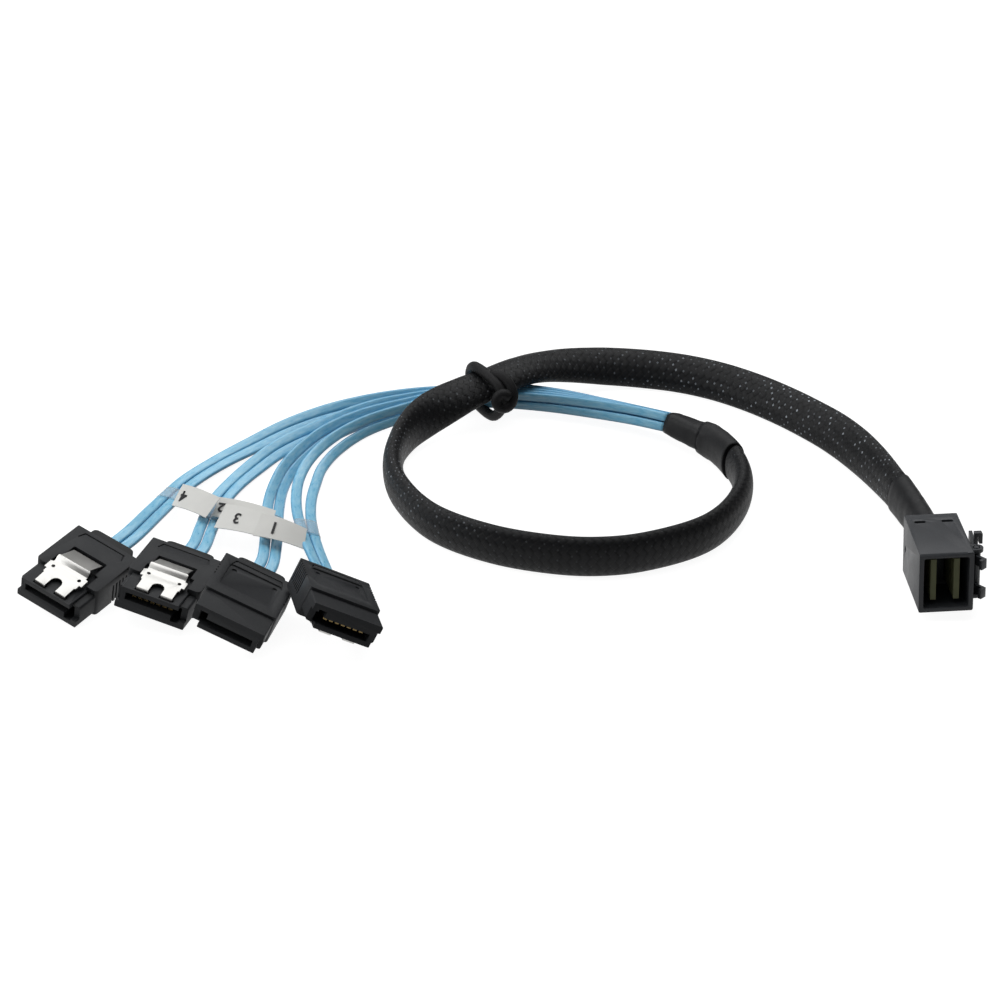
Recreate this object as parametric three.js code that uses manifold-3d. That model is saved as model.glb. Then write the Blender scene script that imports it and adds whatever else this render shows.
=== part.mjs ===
// Breakout cable: one four-lane host plug, a flat sleeved trunk laid in a loop, and four latching
// drive plugs, each on two flat leads. Millimetres, +Z up, the cable lying on the plane z = 0.
import * as THREE from "three";
import { mergeVertices } from "three/addons/utils/BufferGeometryUtils.js";
import Module from "manifold-3d";

const wasm = await Module();
wasm.setup();

// Fits
const GAP = 0.3; // clearance between pieces that seat in or rest on each other

// Drive plug housing: x across, y towards the nose, z towards the latch
const BODY_WIDTH = 15.0;
const BODY_LENGTH = 12.9;
const BODY_HEIGHT = 6.2;
const NOSE_LENGTH = 5.7;
const NOSE_HEIGHT = 4.9;
const NOSE_RISE = 0.6; // the nose's underside stands this far above the body's
const NOSE_KEY_SIDE = 5.5; // from the middle to the nose's side, on the side with the wide wing
const NOSE_PLAIN_SIDE = 6.4;
const WING_SPAN = 14.4;
const WING_HEIGHT = 4.3;
const WING_SETBACK = 1.2;
const LIP_HEIGHT = 1.5; // lower lip of the nose, as wide as the wings
const SLOT_WIDTH = 11.3;
const SLOT_HEIGHT = 1.6;
const SLOT_FLOOR = 2.3; // above the nose's underside
const SLOT_DEPTH = 9.6;
const SLOT_SHIFT = -0.25; // the slot's middle lies towards the wide wing
const KEY_WIDTH = 1.6; // short leg of the L-shaped slot
const KEY_DROP = 1.3;
const RIB_COUNT = 7;
const RIB_PITCH = 1.0;
const RIB_GROOVE = 0.45;
const RIB_DEPTH = 0.3;
const RIB_START = 1.3;
const RIB_HEIGHT = 4.4;
const SEAM_WIDTH = 0.3;
const SEAM_DEPTH = 0.25;
const SEAM_INSET = 1.1;
const SEAM_SPAN = 10.8;
const SEAM_LEG = 1.6;
const PANEL_WIDTH = 11.2;
const PANEL_LENGTH = 7.4;
const PANEL_START = 2.6;
const PANEL_DEPTH = 0.25;
const DOT_RADIUS = 0.5;
const DOT_SPACING = 8.6;

// Window for the latch spring in the drive plug's top, measured back from the body's front
const WINDOW_WIDTH = 8.2;
const WINDOW_BACK = 7.5;
const WINDOW_FLOOR = 3.5;
const WINDOW_STEP_BACK = 4.2; // from here on the window's floor is the nose's top
const WINDOW_STEP_OVERLAP = 0.5;
const EAR_WINDOW_WIDTH = 9.9;
const EAR_WINDOW_BACK = 3.6;

// Latch spring, one bent sheet: side profile times plan outline, placed from the body's front too
const SPRING_SHEET = 0.3;
const THUMB_WIDTH = 7.0;
const THUMB_START_BACK = 6.9;
const THUMB_START_HEIGHT = 6.0;
const THUMB_CREST_BACK = 2.2;
const THUMB_CREST_HEIGHT = 7.5;
const SPRING_BEND_BACK = 1.5;
const SPRING_ARCH = 0.7; // the front plate starts this far above its front end
const EAR_WIDTH = 9.2;
const EAR_PAST = 1.1; // how far the ears reach past the body's front
const TAB_OUTER = 3.7;
const TAB_INNER = 1.3;
const TAB_SETBACK = 0.9; // the tabs' lips stand this far behind the nose's front
const LIP_DROP = 0.45;
const LIP_SLOT = 0.9;
const SPRING_HOLE_RADIUS = 0.4;
const SPRING_HOLE_SPACING = 6.4;

// Contact insert and strain relief of a drive plug
const CONTACT_COUNT = 7;
const CONTACT_PITCH = 1.27;
const CONTACT_WIDTH = 0.8;
const CONTACT_THICKNESS = 0.4;
const INSERT_LENGTH = 3.2;
const CONTACT_SETBACK = 1.2;
const RELIEF_WIDTH = 10.4;
const RELIEF_HEIGHT = 4.4;
const RELIEF_OUT = 2.3; // how far it stands out of the housing's rear
const RELIEF_SEAT = 1.8; // how deep it sits in the rear pocket
const RELIEF_CORNER = 1.6;

// Leads
const LEAD_WIDTH = 2.0;
const LEAD_THICKNESS = 1.1;
const LEAD_SPACING = 2.4; // between a drive plug's two leads
const LEAD_HEIGHT = 3.1; // above the drive plug's underside
const LEAD_STRAIGHT = 5.0; // behind the strain relief, before the lead may bend

// Host plug: x across, y towards the mouth, z up as it lies; its latch is on the -x side
const HOST_WIDTH = 10.6;
const HOST_LENGTH = 18.2;
const HOST_HEIGHT = 12.4;
const HOST_EDGE = 0.35;
const MOUTH_WALL = 0.9;
const MOUTH_DEPTH = 10.2;
const BULKHEAD = 2.0; // wall between the mouth and the rear pocket
const REAR_WALL = 1.2;
const CARD_THICKNESS = 1.1;
const CARD_HEIGHT = 8.6;
const CARD_SPACING = 4.5;
const CARD_SETBACK = 1.6; // behind the mouth
const PAD_COUNT = 9;
const PAD_PITCH = 0.75;
const PAD_WIDTH = 0.45;
const PAD_LENGTH = 3.0;
const PAD_PROUD = 0.08;
const SNAP_SLOT_WIDTH = 2.3;
const SNAP_SLOT_LENGTH = 1.0;
const SNAP_SLOT_START = 2.9;
const SNAP_SPACING = 5.4;
const SNAP_PROUD = 0.9;
const DIMPLE_RADIUS = 0.7;
const DIMPLE_DEPTH = 0.6;
const DIMPLE_BACK = 2.4;
const DIMPLE_HEIGHT = 6.2;
const MOUTH_CHAMFER = 0.45;

// Latch lever of the host plug; u is the distance out from the plug's side
const PIVOT_BACK = 4.4; // behind the mouth
const PIVOT_OUT = 1.2;
const PIVOT_RADIUS = 0.5;
const PIVOT_CLEARANCE = 0.25;
const LUG_RADIUS = 1.35;
const LUG_THICKNESS = 0.8;
const LUG_INSET = 1.0; // from the plug's top and underside to the lugs
const LEVER_SHEET = 0.7;
const LEVER_REAR = 4.0; // from the plug's rear to the lever's rear end
const LEVER_REAR_OUT = 1.9;
const CLAW_HEIGHT = 2.0;
const CLAW_OUT = 2.2;
const CLAW_PAST = 0.2; // the claws end this far behind the mouth
const HOOK_BACK = 9.6; // behind the mouth
const HOOK_LENGTH = 1.2;
const HOOK_REACH = 3.2;
const HOOK_DROP = 2.3;
const HOOK_SHEET = 0.65;

// Trunk
const SLEEVE_WIDE = 8.8;
const SLEEVE_NARROW = 4.2;
const HOST_SHRINK_WIDE = 8.0;
const HOST_SHRINK_NARROW = 5.4;
const HOST_SHRINK_LENGTH = 14.0;
const OUTER_SHRINK_WIDE = 8.7;
const OUTER_SHRINK_NARROW = 5.2;
const OUTER_SHRINK_LENGTH = 13.0;
const INNER_SHRINK_WIDE = 5.8;
const INNER_SHRINK_NARROW = 5.0;
const INNER_SHRINK_LENGTH = 9.0;

// Tie round the trunk and the leads under it
const TIE_WIDTH = 2.6;
const TIE_THICKNESS = 1.1;
const TIE_ROOM_WIDE = 11.0;
const TIE_ROOM_HIGH = 9.9;
const KNOT_RADIUS = 1.7;

// Labels: a flag folded round the two leads of a plug
const LABEL_LENGTH = 7.6;
const LABEL_THICKNESS = 0.35;
const LABEL_WIDTH = 5.6;
const LABEL_ROOM = 0.35; // between the leads and the wrap

// Where the plugs lie: x, y, then yaw, pitch and roll in degrees; their lowest corner is on z = 0
const DRIVE_PLACES = {
  4: { at: [-78.3, -29.0], turn: [147.6, -3.1, -12.5] },
  3: { at: [-62.8, -31.7], turn: [164.3, 3.5, -12.5] },
  2: { at: [-46.4, -40.2], turn: [166.9, 2.2, 158.5] },
  1: { at: [-32.0, -41.5], turn: [192.6, 6.5, 151.0] },
};
const HOST_PLACE = { at: [85.7, -27.6], turn: [182.1, 6.5, 2.0] };

// The middle of the rigid pieces' outline lies at the frame's origin
const FRAME_SHIFT = [-0.03, 43.37];

// A closed geometry as a solid that can be cut and joined
function solid(geometry) {
  const bare = geometry.clone();
  bare.deleteAttribute("normal");
  bare.deleteAttribute("uv");
  const merged = mergeVertices(bare, 1e-4);
  return new wasm.Manifold(
    new wasm.Mesh({
      numProp: 3,
      vertProperties: merged.attributes.position.array,
      triVerts: new Uint32Array(merged.index.array),
    }),
  );
}

function geometryOf(made) {
  const mesh = made.getMesh();
  const geometry = new THREE.BufferGeometry();
  geometry.setAttribute("position", new THREE.BufferAttribute(new Float32Array(mesh.vertProperties), 3));
  geometry.setIndex(new THREE.BufferAttribute(new Uint32Array(mesh.triVerts), 1));
  const flat = geometry.toNonIndexed();
  flat.computeVertexNormals();
  return flat;
}

const join = (first, ...rest) => rest.reduce((body, piece) => body.add(piece), first);
const cut = (body, ...tools) => tools.reduce((left, tool) => left.subtract(tool), body);

function block(low, high) {
  const size = high.map((value, axis) => value - low[axis]);
  const middle = high.map((value, axis) => (value + low[axis]) / 2);
  return solid(new THREE.BoxGeometry(...size).translate(...middle));
}

// A closed outline whose corners are rounded by their own radius, or by the one given for all
function outline(points, radius = 0) {
  const shape = new THREE.Shape();
  points.forEach(([x, y, own], index) => {
    const here = new THREE.Vector2(x, y);
    const before = new THREE.Vector2(...points.at(index - 1).slice(0, 2));
    const after = new THREE.Vector2(...points[(index + 1) % points.length].slice(0, 2));
    const round = own ?? radius;
    const start = here.clone().add(before.sub(here).setLength(round));
    const end = here.clone().add(after.sub(here).setLength(round));
    if (index === 0) shape.moveTo(start.x, start.y);
    else shape.lineTo(start.x, start.y);
    if (round > 0) shape.quadraticCurveTo(here.x, here.y, end.x, end.y);
  });
  shape.closePath();
  return shape;
}

function rectangle(x0, y0, x1, y1, radius = 0) {
  const corners = [
    [x0, y0],
    [x1, y0],
    [x1, y1],
    [x0, y1],
  ];
  return outline(corners, radius);
}

// A strip of sheet along a bent line, as an outline: the line moved half the sheet to each side
function strip(line, sheet) {
  const points = line.map(([x, y]) => new THREE.Vector2(x, y));
  const left = [];
  const right = [];
  points.forEach((here, index) => {
    const before = points[Math.max(index - 1, 0)];
    const after = points[Math.min(index + 1, points.length - 1)];
    const inward = here.clone().sub(before);
    const outward = after.clone().sub(here);
    const a = (inward.length() ? inward : outward).clone().normalize();
    const b = (outward.length() ? outward : inward).clone().normalize();
    const normal = new THREE.Vector2(-a.y - b.y, a.x + b.x).normalize();
    const reach = sheet / 2 / Math.max(normal.dot(new THREE.Vector2(-a.y, a.x)), 0.5);
    left.push(here.clone().addScaledVector(normal, reach).toArray());
    right.unshift(here.clone().addScaledVector(normal, -reach).toArray());
  });
  return outline([...right, ...left]);
}

const CURVE_STEPS = 4;
function extrusion(shape, depth, steps = CURVE_STEPS) {
  return new THREE.ExtrudeGeometry(shape, { depth, bevelEnabled: false, curveSegments: steps });
}

// Outlines drawn in x and y, in x and z, and in y and z, extruded along the third axis
function alongZ(shape, low, high, steps) {
  return solid(extrusion(shape, high - low, steps).translate(0, 0, low));
}

function alongY(shape, low, high, steps) {
  return solid(extrusion(shape, high - low, steps).rotateX(Math.PI / 2).translate(0, high, 0));
}

function alongX(shape, low, high, steps) {
  const turned = new THREE.Matrix4().makeBasis(
    new THREE.Vector3(0, 1, 0),
    new THREE.Vector3(0, 0, 1),
    new THREE.Vector3(1, 0, 0),
  );
  return solid(extrusion(shape, high - low, steps).applyMatrix4(turned).translate(low, 0, 0));
}

function disc(x, y, radius, sides = 12) {
  const shape = new THREE.Shape();
  for (let i = 0; i < sides; i += 1) {
    const angle = ((i + 0.5) * 2 * Math.PI) / sides;
    shape[i ? "lineTo" : "moveTo"](x + radius * Math.cos(angle), y + radius * Math.sin(angle));
  }
  shape.closePath();
  return shape;
}

// Drive plug

const noseEnd = BODY_LENGTH + NOSE_LENGTH;
const noseTop = NOSE_RISE + NOSE_HEIGHT;
const slotLow = NOSE_RISE + SLOT_FLOOR;
const slotHigh = slotLow + SLOT_HEIGHT;
const slotRear = noseEnd - SLOT_DEPTH;
const slotKeySide = SLOT_SHIFT - SLOT_WIDTH / 2;
const slotPlainSide = SLOT_SHIFT + SLOT_WIDTH / 2;
const lipLine = noseEnd - TAB_SETBACK;
const windowStart = BODY_LENGTH - WINDOW_BACK;
const windowStep = BODY_LENGTH - WINDOW_STEP_BACK;
const earWindowStart = BODY_LENGTH - EAR_WINDOW_BACK;
const thumbStart = BODY_LENGTH - THUMB_START_BACK;
const thumbCrest = BODY_LENGTH - THUMB_CREST_BACK;
const springBend = BODY_LENGTH - SPRING_BEND_BACK;
const earEnd = BODY_LENGTH + EAR_PAST;
const reliefLow = LEAD_HEIGHT - RELIEF_HEIGHT / 2;

function driveNose() {
  const half = WING_SPAN / 2;
  const core = rectangle(-NOSE_KEY_SIDE, NOSE_RISE, NOSE_PLAIN_SIDE, noseTop, 0.25);
  const wings = rectangle(-half, NOSE_RISE, half, NOSE_RISE + WING_HEIGHT, 0.6);
  const lip = rectangle(-half, NOSE_RISE, half, NOSE_RISE + LIP_HEIGHT, 0.2);
  const root = BODY_LENGTH - 1;
  return join(
    alongY(core, root, noseEnd),
    alongY(wings, root, noseEnd - WING_SETBACK),
    alongY(lip, root, noseEnd),
  );
}

function driveSlot() {
  const leg = slotLow - KEY_DROP;
  const profile = outline([
    [slotKeySide, leg],
    [slotKeySide + KEY_WIDTH, leg],
    [slotKeySide + KEY_WIDTH, slotLow],
    [slotPlainSide, slotLow],
    [slotPlainSide, slotHigh],
    [slotKeySide, slotHigh],
  ]);
  return alongY(profile, slotRear, noseEnd + 1);
}

function latchWindow() {
  const half = WINDOW_WIDTH / 2;
  const ear = EAR_WINDOW_WIDTH / 2;
  const over = BODY_HEIGHT + 1;
  const deep = rectangle(-half, windowStart, half, windowStep + WINDOW_STEP_OVERLAP, 0.4);
  return join(
    alongZ(deep, WINDOW_FLOOR, over),
    block([-half, windowStep, noseTop], [half, BODY_LENGTH + 1, over]),
    block([-ear, earWindowStart, noseTop], [ear, BODY_LENGTH + 1, over]),
  );
}

function lipSlots() {
  const low = noseTop - LIP_DROP - GAP / 2;
  return [-1, 1].map((side) => {
    const ends = [side * (TAB_INNER - GAP), side * (TAB_OUTER + GAP)].sort((a, b) => a - b);
    return block(
      [ends[0], lipLine - LIP_SLOT / 2, low],
      [ends[1], lipLine + LIP_SLOT / 2, noseTop + 1],
    );
  });
}

function gripGrooves() {
  const grooves = [];
  for (const side of [-1, 1]) {
    for (let i = 0; i < RIB_COUNT; i += 1) {
      const start = RIB_START + i * RIB_PITCH;
      const ends = [side * (BODY_WIDTH / 2 - RIB_DEPTH), side * (BODY_WIDTH / 2 + 1)];
      ends.sort((a, b) => a - b);
      grooves.push(block([ends[0], start, -1], [ends[1], start + RIB_GROOVE, RIB_HEIGHT]));
    }
  }
  return grooves;
}

// A shallow line across the rear of a face, turned forward at both ends
function seam(low, high) {
  const half = SEAM_SPAN / 2;
  const line = [
    [-half, SEAM_INSET + SEAM_LEG],
    [-half + 0.6, SEAM_INSET],
    [half - 0.6, SEAM_INSET],
    [half, SEAM_INSET + SEAM_LEG],
  ];
  return alongZ(strip(line, SEAM_WIDTH), low, high);
}

function driveHousing() {
  const half = BODY_WIDTH / 2;
  const plan = outline([
    [-half, 0, 0.3],
    [half, 0, 0.3],
    [half, BODY_LENGTH, 0.9],
    [-half, BODY_LENGTH, 0.9],
  ]);
  const body = join(alongZ(plan, 0, BODY_HEIGHT), driveNose());
  const pocket = RELIEF_WIDTH / 2 + GAP;
  const panelEnd = PANEL_START + PANEL_LENGTH;
  const panel = rectangle(-PANEL_WIDTH / 2, PANEL_START, PANEL_WIDTH / 2, panelEnd, 0.8);
  const dots = [-1, 1].map((side) =>
    alongZ(disc((side * DOT_SPACING) / 2, PANEL_START + 1.4, DOT_RADIUS), -1, 2 * PANEL_DEPTH),
  );
  return cut(
    body,
    driveSlot(),
    latchWindow(),
    ...lipSlots(),
    ...gripGrooves(),
    seam(BODY_HEIGHT - SEAM_DEPTH, BODY_HEIGHT + 1),
    seam(-1, SEAM_DEPTH),
    alongZ(panel, -1, PANEL_DEPTH),
    ...dots,
    block([-pocket, -1, reliefLow - GAP], [pocket, RELIEF_SEAT + GAP, reliefLow + RELIEF_HEIGHT + GAP]),
  );
}

function driveRelief() {
  const half = RELIEF_WIDTH / 2;
  const plan = outline([
    [-half, -RELIEF_OUT, RELIEF_CORNER],
    [half, -RELIEF_OUT, RELIEF_CORNER],
    [half, RELIEF_SEAT, 0.2],
    [-half, RELIEF_SEAT, 0.2],
  ]);
  const side = rectangle(-half, reliefLow, half, reliefLow + RELIEF_HEIGHT, 0.5);
  return alongZ(plan, reliefLow - 1, reliefLow + RELIEF_HEIGHT + 1).intersect(
    alongY(side, -RELIEF_OUT - 1, RELIEF_SEAT + 1),
  );
}

// Seven contacts on their insert, at the rear of the slot
function driveContacts() {
  const low = slotLow + GAP;
  const rear = slotRear + GAP;
  const insert = block(
    [slotKeySide + GAP, rear, low],
    [slotPlainSide - GAP, rear + INSERT_LENGTH, slotHigh - GAP],
  );
  const contacts = [];
  for (let i = 0; i < CONTACT_COUNT; i += 1) {
    const x = SLOT_SHIFT + KEY_WIDTH / 4 + (i - (CONTACT_COUNT - 1) / 2) * CONTACT_PITCH;
    const front = noseEnd - CONTACT_SETBACK;
    const middle = (rear + INSERT_LENGTH + front) / 2;
    const side = [
      [rear + 1, low + CONTACT_THICKNESS / 2],
      [middle, low + CONTACT_THICKNESS / 2 + 0.25],
      [front, low + CONTACT_THICKNESS / 2],
    ];
    contacts.push(alongX(strip(side, CONTACT_THICKNESS), x - CONTACT_WIDTH / 2, x + CONTACT_WIDTH / 2));
  }
  return join(insert, ...contacts);
}

// The latch spring's plan: thumb plate, ears, and two front tabs with a half-round notch between
function springPlan() {
  const thumb = THUMB_WIDTH / 2;
  const ear = EAR_WIDTH / 2;
  const front = lipLine + SPRING_SHEET / 2;
  const half = [
    [thumb, thumbStart],
    [thumb, springBend - 1.2],
    [thumb + 0.45, springBend - 0.8],
    [thumb + 0.45, springBend + 0.5],
    [ear, springBend + 0.7],
    [ear, earEnd],
    [TAB_OUTER + 0.3, earEnd],
    [TAB_OUTER + 0.3, earEnd + 1],
    [TAB_OUTER, earEnd + 1.2],
    [TAB_OUTER, front],
    [TAB_INNER, front],
  ];
  const shape = outline([...half, ...half.map(([x, y]) => [-x, y]).reverse()]);
  const hole = SPRING_HOLE_SPACING / 2;
  const y = springBend + 1.6;
  return cut(
    alongZ(shape, 0, 12),
    alongZ(disc(hole, y, SPRING_HOLE_RADIUS, 8), -1, 13),
    alongZ(disc(-hole, y, SPRING_HOLE_RADIUS, 8), -1, 13),
    alongZ(disc(0, front - 1.7, TAB_INNER, 14), -1, 13),
    block([-TAB_INNER, front - 1.7, -1], [TAB_INNER, front + 1, 13]),
  );
}

function driveLatch() {
  const seat = noseTop + GAP + SPRING_SHEET / 2;
  const side = strip(
    [
      [lipLine, noseTop - LIP_DROP + GAP / 2],
      [lipLine, seat],
      [springBend, seat + SPRING_ARCH],
      [thumbCrest + 0.25, THUMB_CREST_HEIGHT - 0.35],
      [thumbCrest - 0.25, THUMB_CREST_HEIGHT],
      [thumbStart + 0.5, THUMB_START_HEIGHT + 0.1],
      [thumbStart, THUMB_START_HEIGHT - 0.3],
    ],
    SPRING_SHEET,
  );
  return alongX(side, -BODY_WIDTH / 2, BODY_WIDTH / 2).intersect(springPlan());
}

// Host plug

const mouthRear = HOST_LENGTH - MOUTH_DEPTH;
const rearPocket = mouthRear - BULKHEAD;
const hostMiddle = HOST_HEIGHT / 2;
const cardFront = HOST_LENGTH - CARD_SETBACK;
const cardRear = rearPocket;
const hostSide = -HOST_WIDTH / 2;
const pivotY = HOST_LENGTH - PIVOT_BACK;
const leverLow = LUG_INSET + LUG_THICKNESS + GAP;
const leverHigh = HOST_HEIGHT - leverLow;

function hostLugs() {
  const lugs = [LUG_INSET, HOST_HEIGHT - LUG_INSET - LUG_THICKNESS].map((low) => {
    const high = low + LUG_THICKNESS;
    const foot = rectangle(hostSide - PIVOT_OUT, pivotY - LUG_RADIUS, hostSide + 0.4, pivotY + LUG_RADIUS);
    const end = disc(hostSide - PIVOT_OUT, pivotY, LUG_RADIUS, 16);
    return join(alongZ(foot, low, high), alongZ(end, low, high));
  });
  const bore = alongZ(disc(hostSide - PIVOT_OUT, pivotY, PIVOT_RADIUS + PIVOT_CLEARANCE), -1, HOST_HEIGHT + 1);
  return cut(join(...lugs), bore);
}

function hostShell() {
  const half = HOST_WIDTH / 2;
  const outer = alongY(rectangle(-half, 0, half, HOST_HEIGHT, HOST_EDGE), 0, HOST_LENGTH, 2);
  const mouth = rectangle(
    -half + MOUTH_WALL,
    MOUTH_WALL,
    half - MOUTH_WALL,
    HOST_HEIGHT - MOUTH_WALL,
    0.4,
  );
  const pocket = rectangle(-half + REAR_WALL, REAR_WALL, half - REAR_WALL, HOST_HEIGHT - REAR_WALL);
  const cardSlots = [-1, 1].map((side) => {
    const x = (side * CARD_SPACING) / 2;
    const reach = CARD_THICKNESS / 2 + GAP;
    const high = CARD_HEIGHT / 2 + GAP;
    return block([x - reach, rearPocket - 1, hostMiddle - high], [x + reach, mouthRear + 1, hostMiddle + high]);
  });
  const snapSlots = [-1, 1].map((side) => {
    const x = (side * SNAP_SPACING) / 2;
    const end = SNAP_SLOT_START + SNAP_SLOT_LENGTH;
    const shape = rectangle(x - SNAP_SLOT_WIDTH / 2, SNAP_SLOT_START, x + SNAP_SLOT_WIDTH / 2, end, 0.3);
    return alongZ(shape, HOST_HEIGHT - REAR_WALL - 1, HOST_HEIGHT + 1, 2);
  });
  const dimple = alongX(disc(DIMPLE_BACK, DIMPLE_HEIGHT, DIMPLE_RADIUS), half - DIMPLE_DEPTH, half + 1);
  const chamfer = alongX(
    outline([
      [HOST_LENGTH - MOUTH_CHAMFER, HOST_HEIGHT],
      [HOST_LENGTH + 1, HOST_HEIGHT - MOUTH_CHAMFER - 1],
      [HOST_LENGTH + 1, HOST_HEIGHT + 1],
      [HOST_LENGTH - MOUTH_CHAMFER, HOST_HEIGHT + 1],
    ]),
    -half + 1.3,
    half + 1,
  );
  return cut(
    join(outer, hostLugs()),
    alongY(mouth, mouthRear, HOST_LENGTH + 1, 2),
    alongY(pocket, -1, rearPocket),
    ...cardSlots,
    ...snapSlots,
    dimple,
    chamfer,
  );
}

function hostRearInsert() {
  const half = HOST_WIDTH / 2 - REAR_WALL - GAP;
  const low = REAR_WALL + GAP;
  const high = HOST_HEIGHT - low;
  const body = alongY(rectangle(-half, low, half, high, 0.4), 0, rearPocket - GAP, 2);
  const snaps = [-1, 1].map((side) => {
    const x = (side * SNAP_SPACING) / 2;
    const reach = SNAP_SLOT_WIDTH / 2 - GAP;
    const start = SNAP_SLOT_START + GAP;
    return block(
      [Math.max(x - reach, -half), start, high - 1],
      [Math.min(x + reach, half), start + SNAP_SLOT_LENGTH - 2 * GAP, high + SNAP_PROUD],
    );
  });
  return join(body, ...snaps);
}

// A paddle card with a row of contact pads near its front, on both faces
function hostCard(side) {
  const x = (side * CARD_SPACING) / 2;
  const half = CARD_THICKNESS / 2;
  const card = block(
    [x - half, cardRear, hostMiddle - CARD_HEIGHT / 2],
    [x + half, cardFront, hostMiddle + CARD_HEIGHT / 2],
  );
  const pads = [];
  for (let i = 0; i < PAD_COUNT; i += 1) {
    const z = hostMiddle + (i - (PAD_COUNT - 1) / 2) * PAD_PITCH;
    pads.push(
      block(
        [x - half - PAD_PROUD, cardFront - PAD_LENGTH - 0.5, z - PAD_WIDTH / 2],
        [x + half + PAD_PROUD, cardFront - 0.5, z + PAD_WIDTH / 2],
      ),
    );
  }
  return join(card, ...pads);
}

function hostLatch() {
  const u = (out) => hostSide - out;
  const roll = PIVOT_RADIUS + 0.35;
  const arm = strip(
    [
      [u(LEVER_REAR_OUT), LEVER_REAR],
      [u(LEVER_REAR_OUT - 0.2), LEVER_REAR + 3],
      [u(PIVOT_OUT), pivotY - 2.5],
      [u(PIVOT_OUT), pivotY],
    ],
    LEVER_SHEET,
  );
  const clawLine = strip(
    [
      [u(PIVOT_OUT), pivotY - 0.3],
      [u(PIVOT_OUT), pivotY + 1.6],
      [u(CLAW_OUT), HOST_LENGTH - 1.4],
      [u(CLAW_OUT - 0.9), HOST_LENGTH - CLAW_PAST - LEVER_SHEET / 2],
    ],
    LEVER_SHEET,
  );
  const hookBack = HOST_LENGTH - HOOK_BACK;
  const hookLow = HOST_HEIGHT - HOOK_SHEET;
  const hook = outline([
    [u(LEVER_SHEET + 0.9), hookLow - 2.4],
    [u(LEVER_SHEET + 0.9), HOST_HEIGHT],
    [u(HOOK_REACH), HOST_HEIGHT, 0.3],
    [u(HOOK_REACH), HOST_HEIGHT - HOOK_DROP],
    [u(HOOK_REACH - HOOK_SHEET), HOST_HEIGHT - HOOK_DROP],
    [u(HOOK_REACH - HOOK_SHEET), hookLow],
    [u(LEVER_SHEET + 1.6), hookLow],
    [u(LEVER_SHEET + 1.6), hookLow - 2.4],
  ]);
  return join(
    alongZ(arm, leverLow, leverHigh),
    alongZ(disc(u(PIVOT_OUT), pivotY, roll), leverLow, leverHigh),
    alongZ(disc(u(PIVOT_OUT), pivotY, PIVOT_RADIUS), LUG_INSET, HOST_HEIGHT - LUG_INSET),
    alongZ(clawLine, leverLow, leverLow + CLAW_HEIGHT),
    alongZ(clawLine, leverHigh - CLAW_HEIGHT, leverHigh),
    alongY(hook, hookBack, hookBack + HOOK_LENGTH),
  );
}

// Where the plugs lie

const radians = THREE.MathUtils.degToRad;

function frameOf({ at, turn }, resting) {
  const [yaw, pitch, roll] = turn.map(radians);
  const matrix = new THREE.Matrix4().makeRotationFromEuler(new THREE.Euler(pitch, roll, yaw, "ZXY"));
  let low = Infinity;
  for (const made of resting) {
    const { vertProperties } = made.getMesh();
    for (let i = 0; i < vertProperties.length; i += 3) {
      const point = new THREE.Vector3().fromArray(vertProperties, i).applyMatrix4(matrix);
      low = Math.min(low, point.z);
    }
  }
  return matrix.setPosition(at[0] + FRAME_SHIFT[0], at[1] + FRAME_SHIFT[1], -low);
}

const drive = {
  housing: driveHousing(),
  relief: driveRelief(),
  contacts: driveContacts(),
  latch: driveLatch(),
};
const host = {
  shell: hostShell(),
  rear_insert: hostRearInsert(),
  card_left: hostCard(1),
  card_right: hostCard(-1),
  latch: hostLatch(),
};
const hostFrame = frameOf(HOST_PLACE, [host.shell]);
const driveFrames = {};
for (const [name, place] of Object.entries(DRIVE_PLACES)) {
  driveFrames[name] = frameOf(place, [drive.housing, drive.latch]);
}

// Cords

// A smooth route whose section keeps its lean from upright, in degrees, all the way along
class Route extends THREE.Curve {
  constructor(points, start = 0, end = 1) {
    super();
    this.line = new THREE.CatmullRomCurve3(
      points.map(([x, y, z]) => new THREE.Vector3(x, y, z)),
      false,
      "centripetal",
    );
    this.line.arcLengthDivisions = 2000;
    this.leans = points.map(([, , , lean = 0]) => lean);
    this.start = start;
    this.end = end;
  }

  place(t) {
    return this.start + (this.end - this.start) * t;
  }

  getPoint(t) {
    return this.line.getPointAt(this.place(t));
  }

  stretch(from, to) {
    const piece = new Route([[0, 0, 0], [1, 0, 0]], from, to);
    piece.line = this.line;
    piece.leans = this.leans;
    return piece;
  }

  lean(t) {
    const along = this.line.getUtoTmapping(this.place(t)) * (this.leans.length - 1);
    const index = Math.min(Math.floor(along), this.leans.length - 2);
    return THREE.MathUtils.lerp(this.leans[index], this.leans[index + 1], along - index);
  }

  computeFrenetFrames(segments) {
    const frames = { tangents: [], normals: [], binormals: [] };
    for (let i = 0; i <= segments; i += 1) {
      const tangent = this.getTangentAt(i / segments);
      const level = new THREE.Vector3(-tangent.y, tangent.x, 0).normalize();
      const normal = level.cross(tangent).normalize().applyAxisAngle(tangent, radians(this.lean(i / segments)));
      frames.tangents.push(tangent);
      frames.normals.push(normal);
      frames.binormals.push(new THREE.Vector3().crossVectors(tangent, normal));
    }
    return frames;
  }
}

// An oval section; its first size stands upright on a route with no lean
function oval(upright, level, sides) {
  const shape = new THREE.Shape();
  for (let i = 0; i < sides; i += 1) {
    const angle = ((i + 0.5) * 2 * Math.PI) / sides;
    const x = (Math.cos(angle) * upright) / 2;
    const y = (Math.sin(angle) * level) / 2;
    shape[i ? "lineTo" : "moveTo"](x, y);
  }
  shape.closePath();
  return shape;
}

function tube(route, section, steps) {
  const options = { steps, extrudePath: route, bevelEnabled: false, curveSegments: 2 };
  return solid(new THREE.ExtrudeGeometry(section, options));
}

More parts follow.
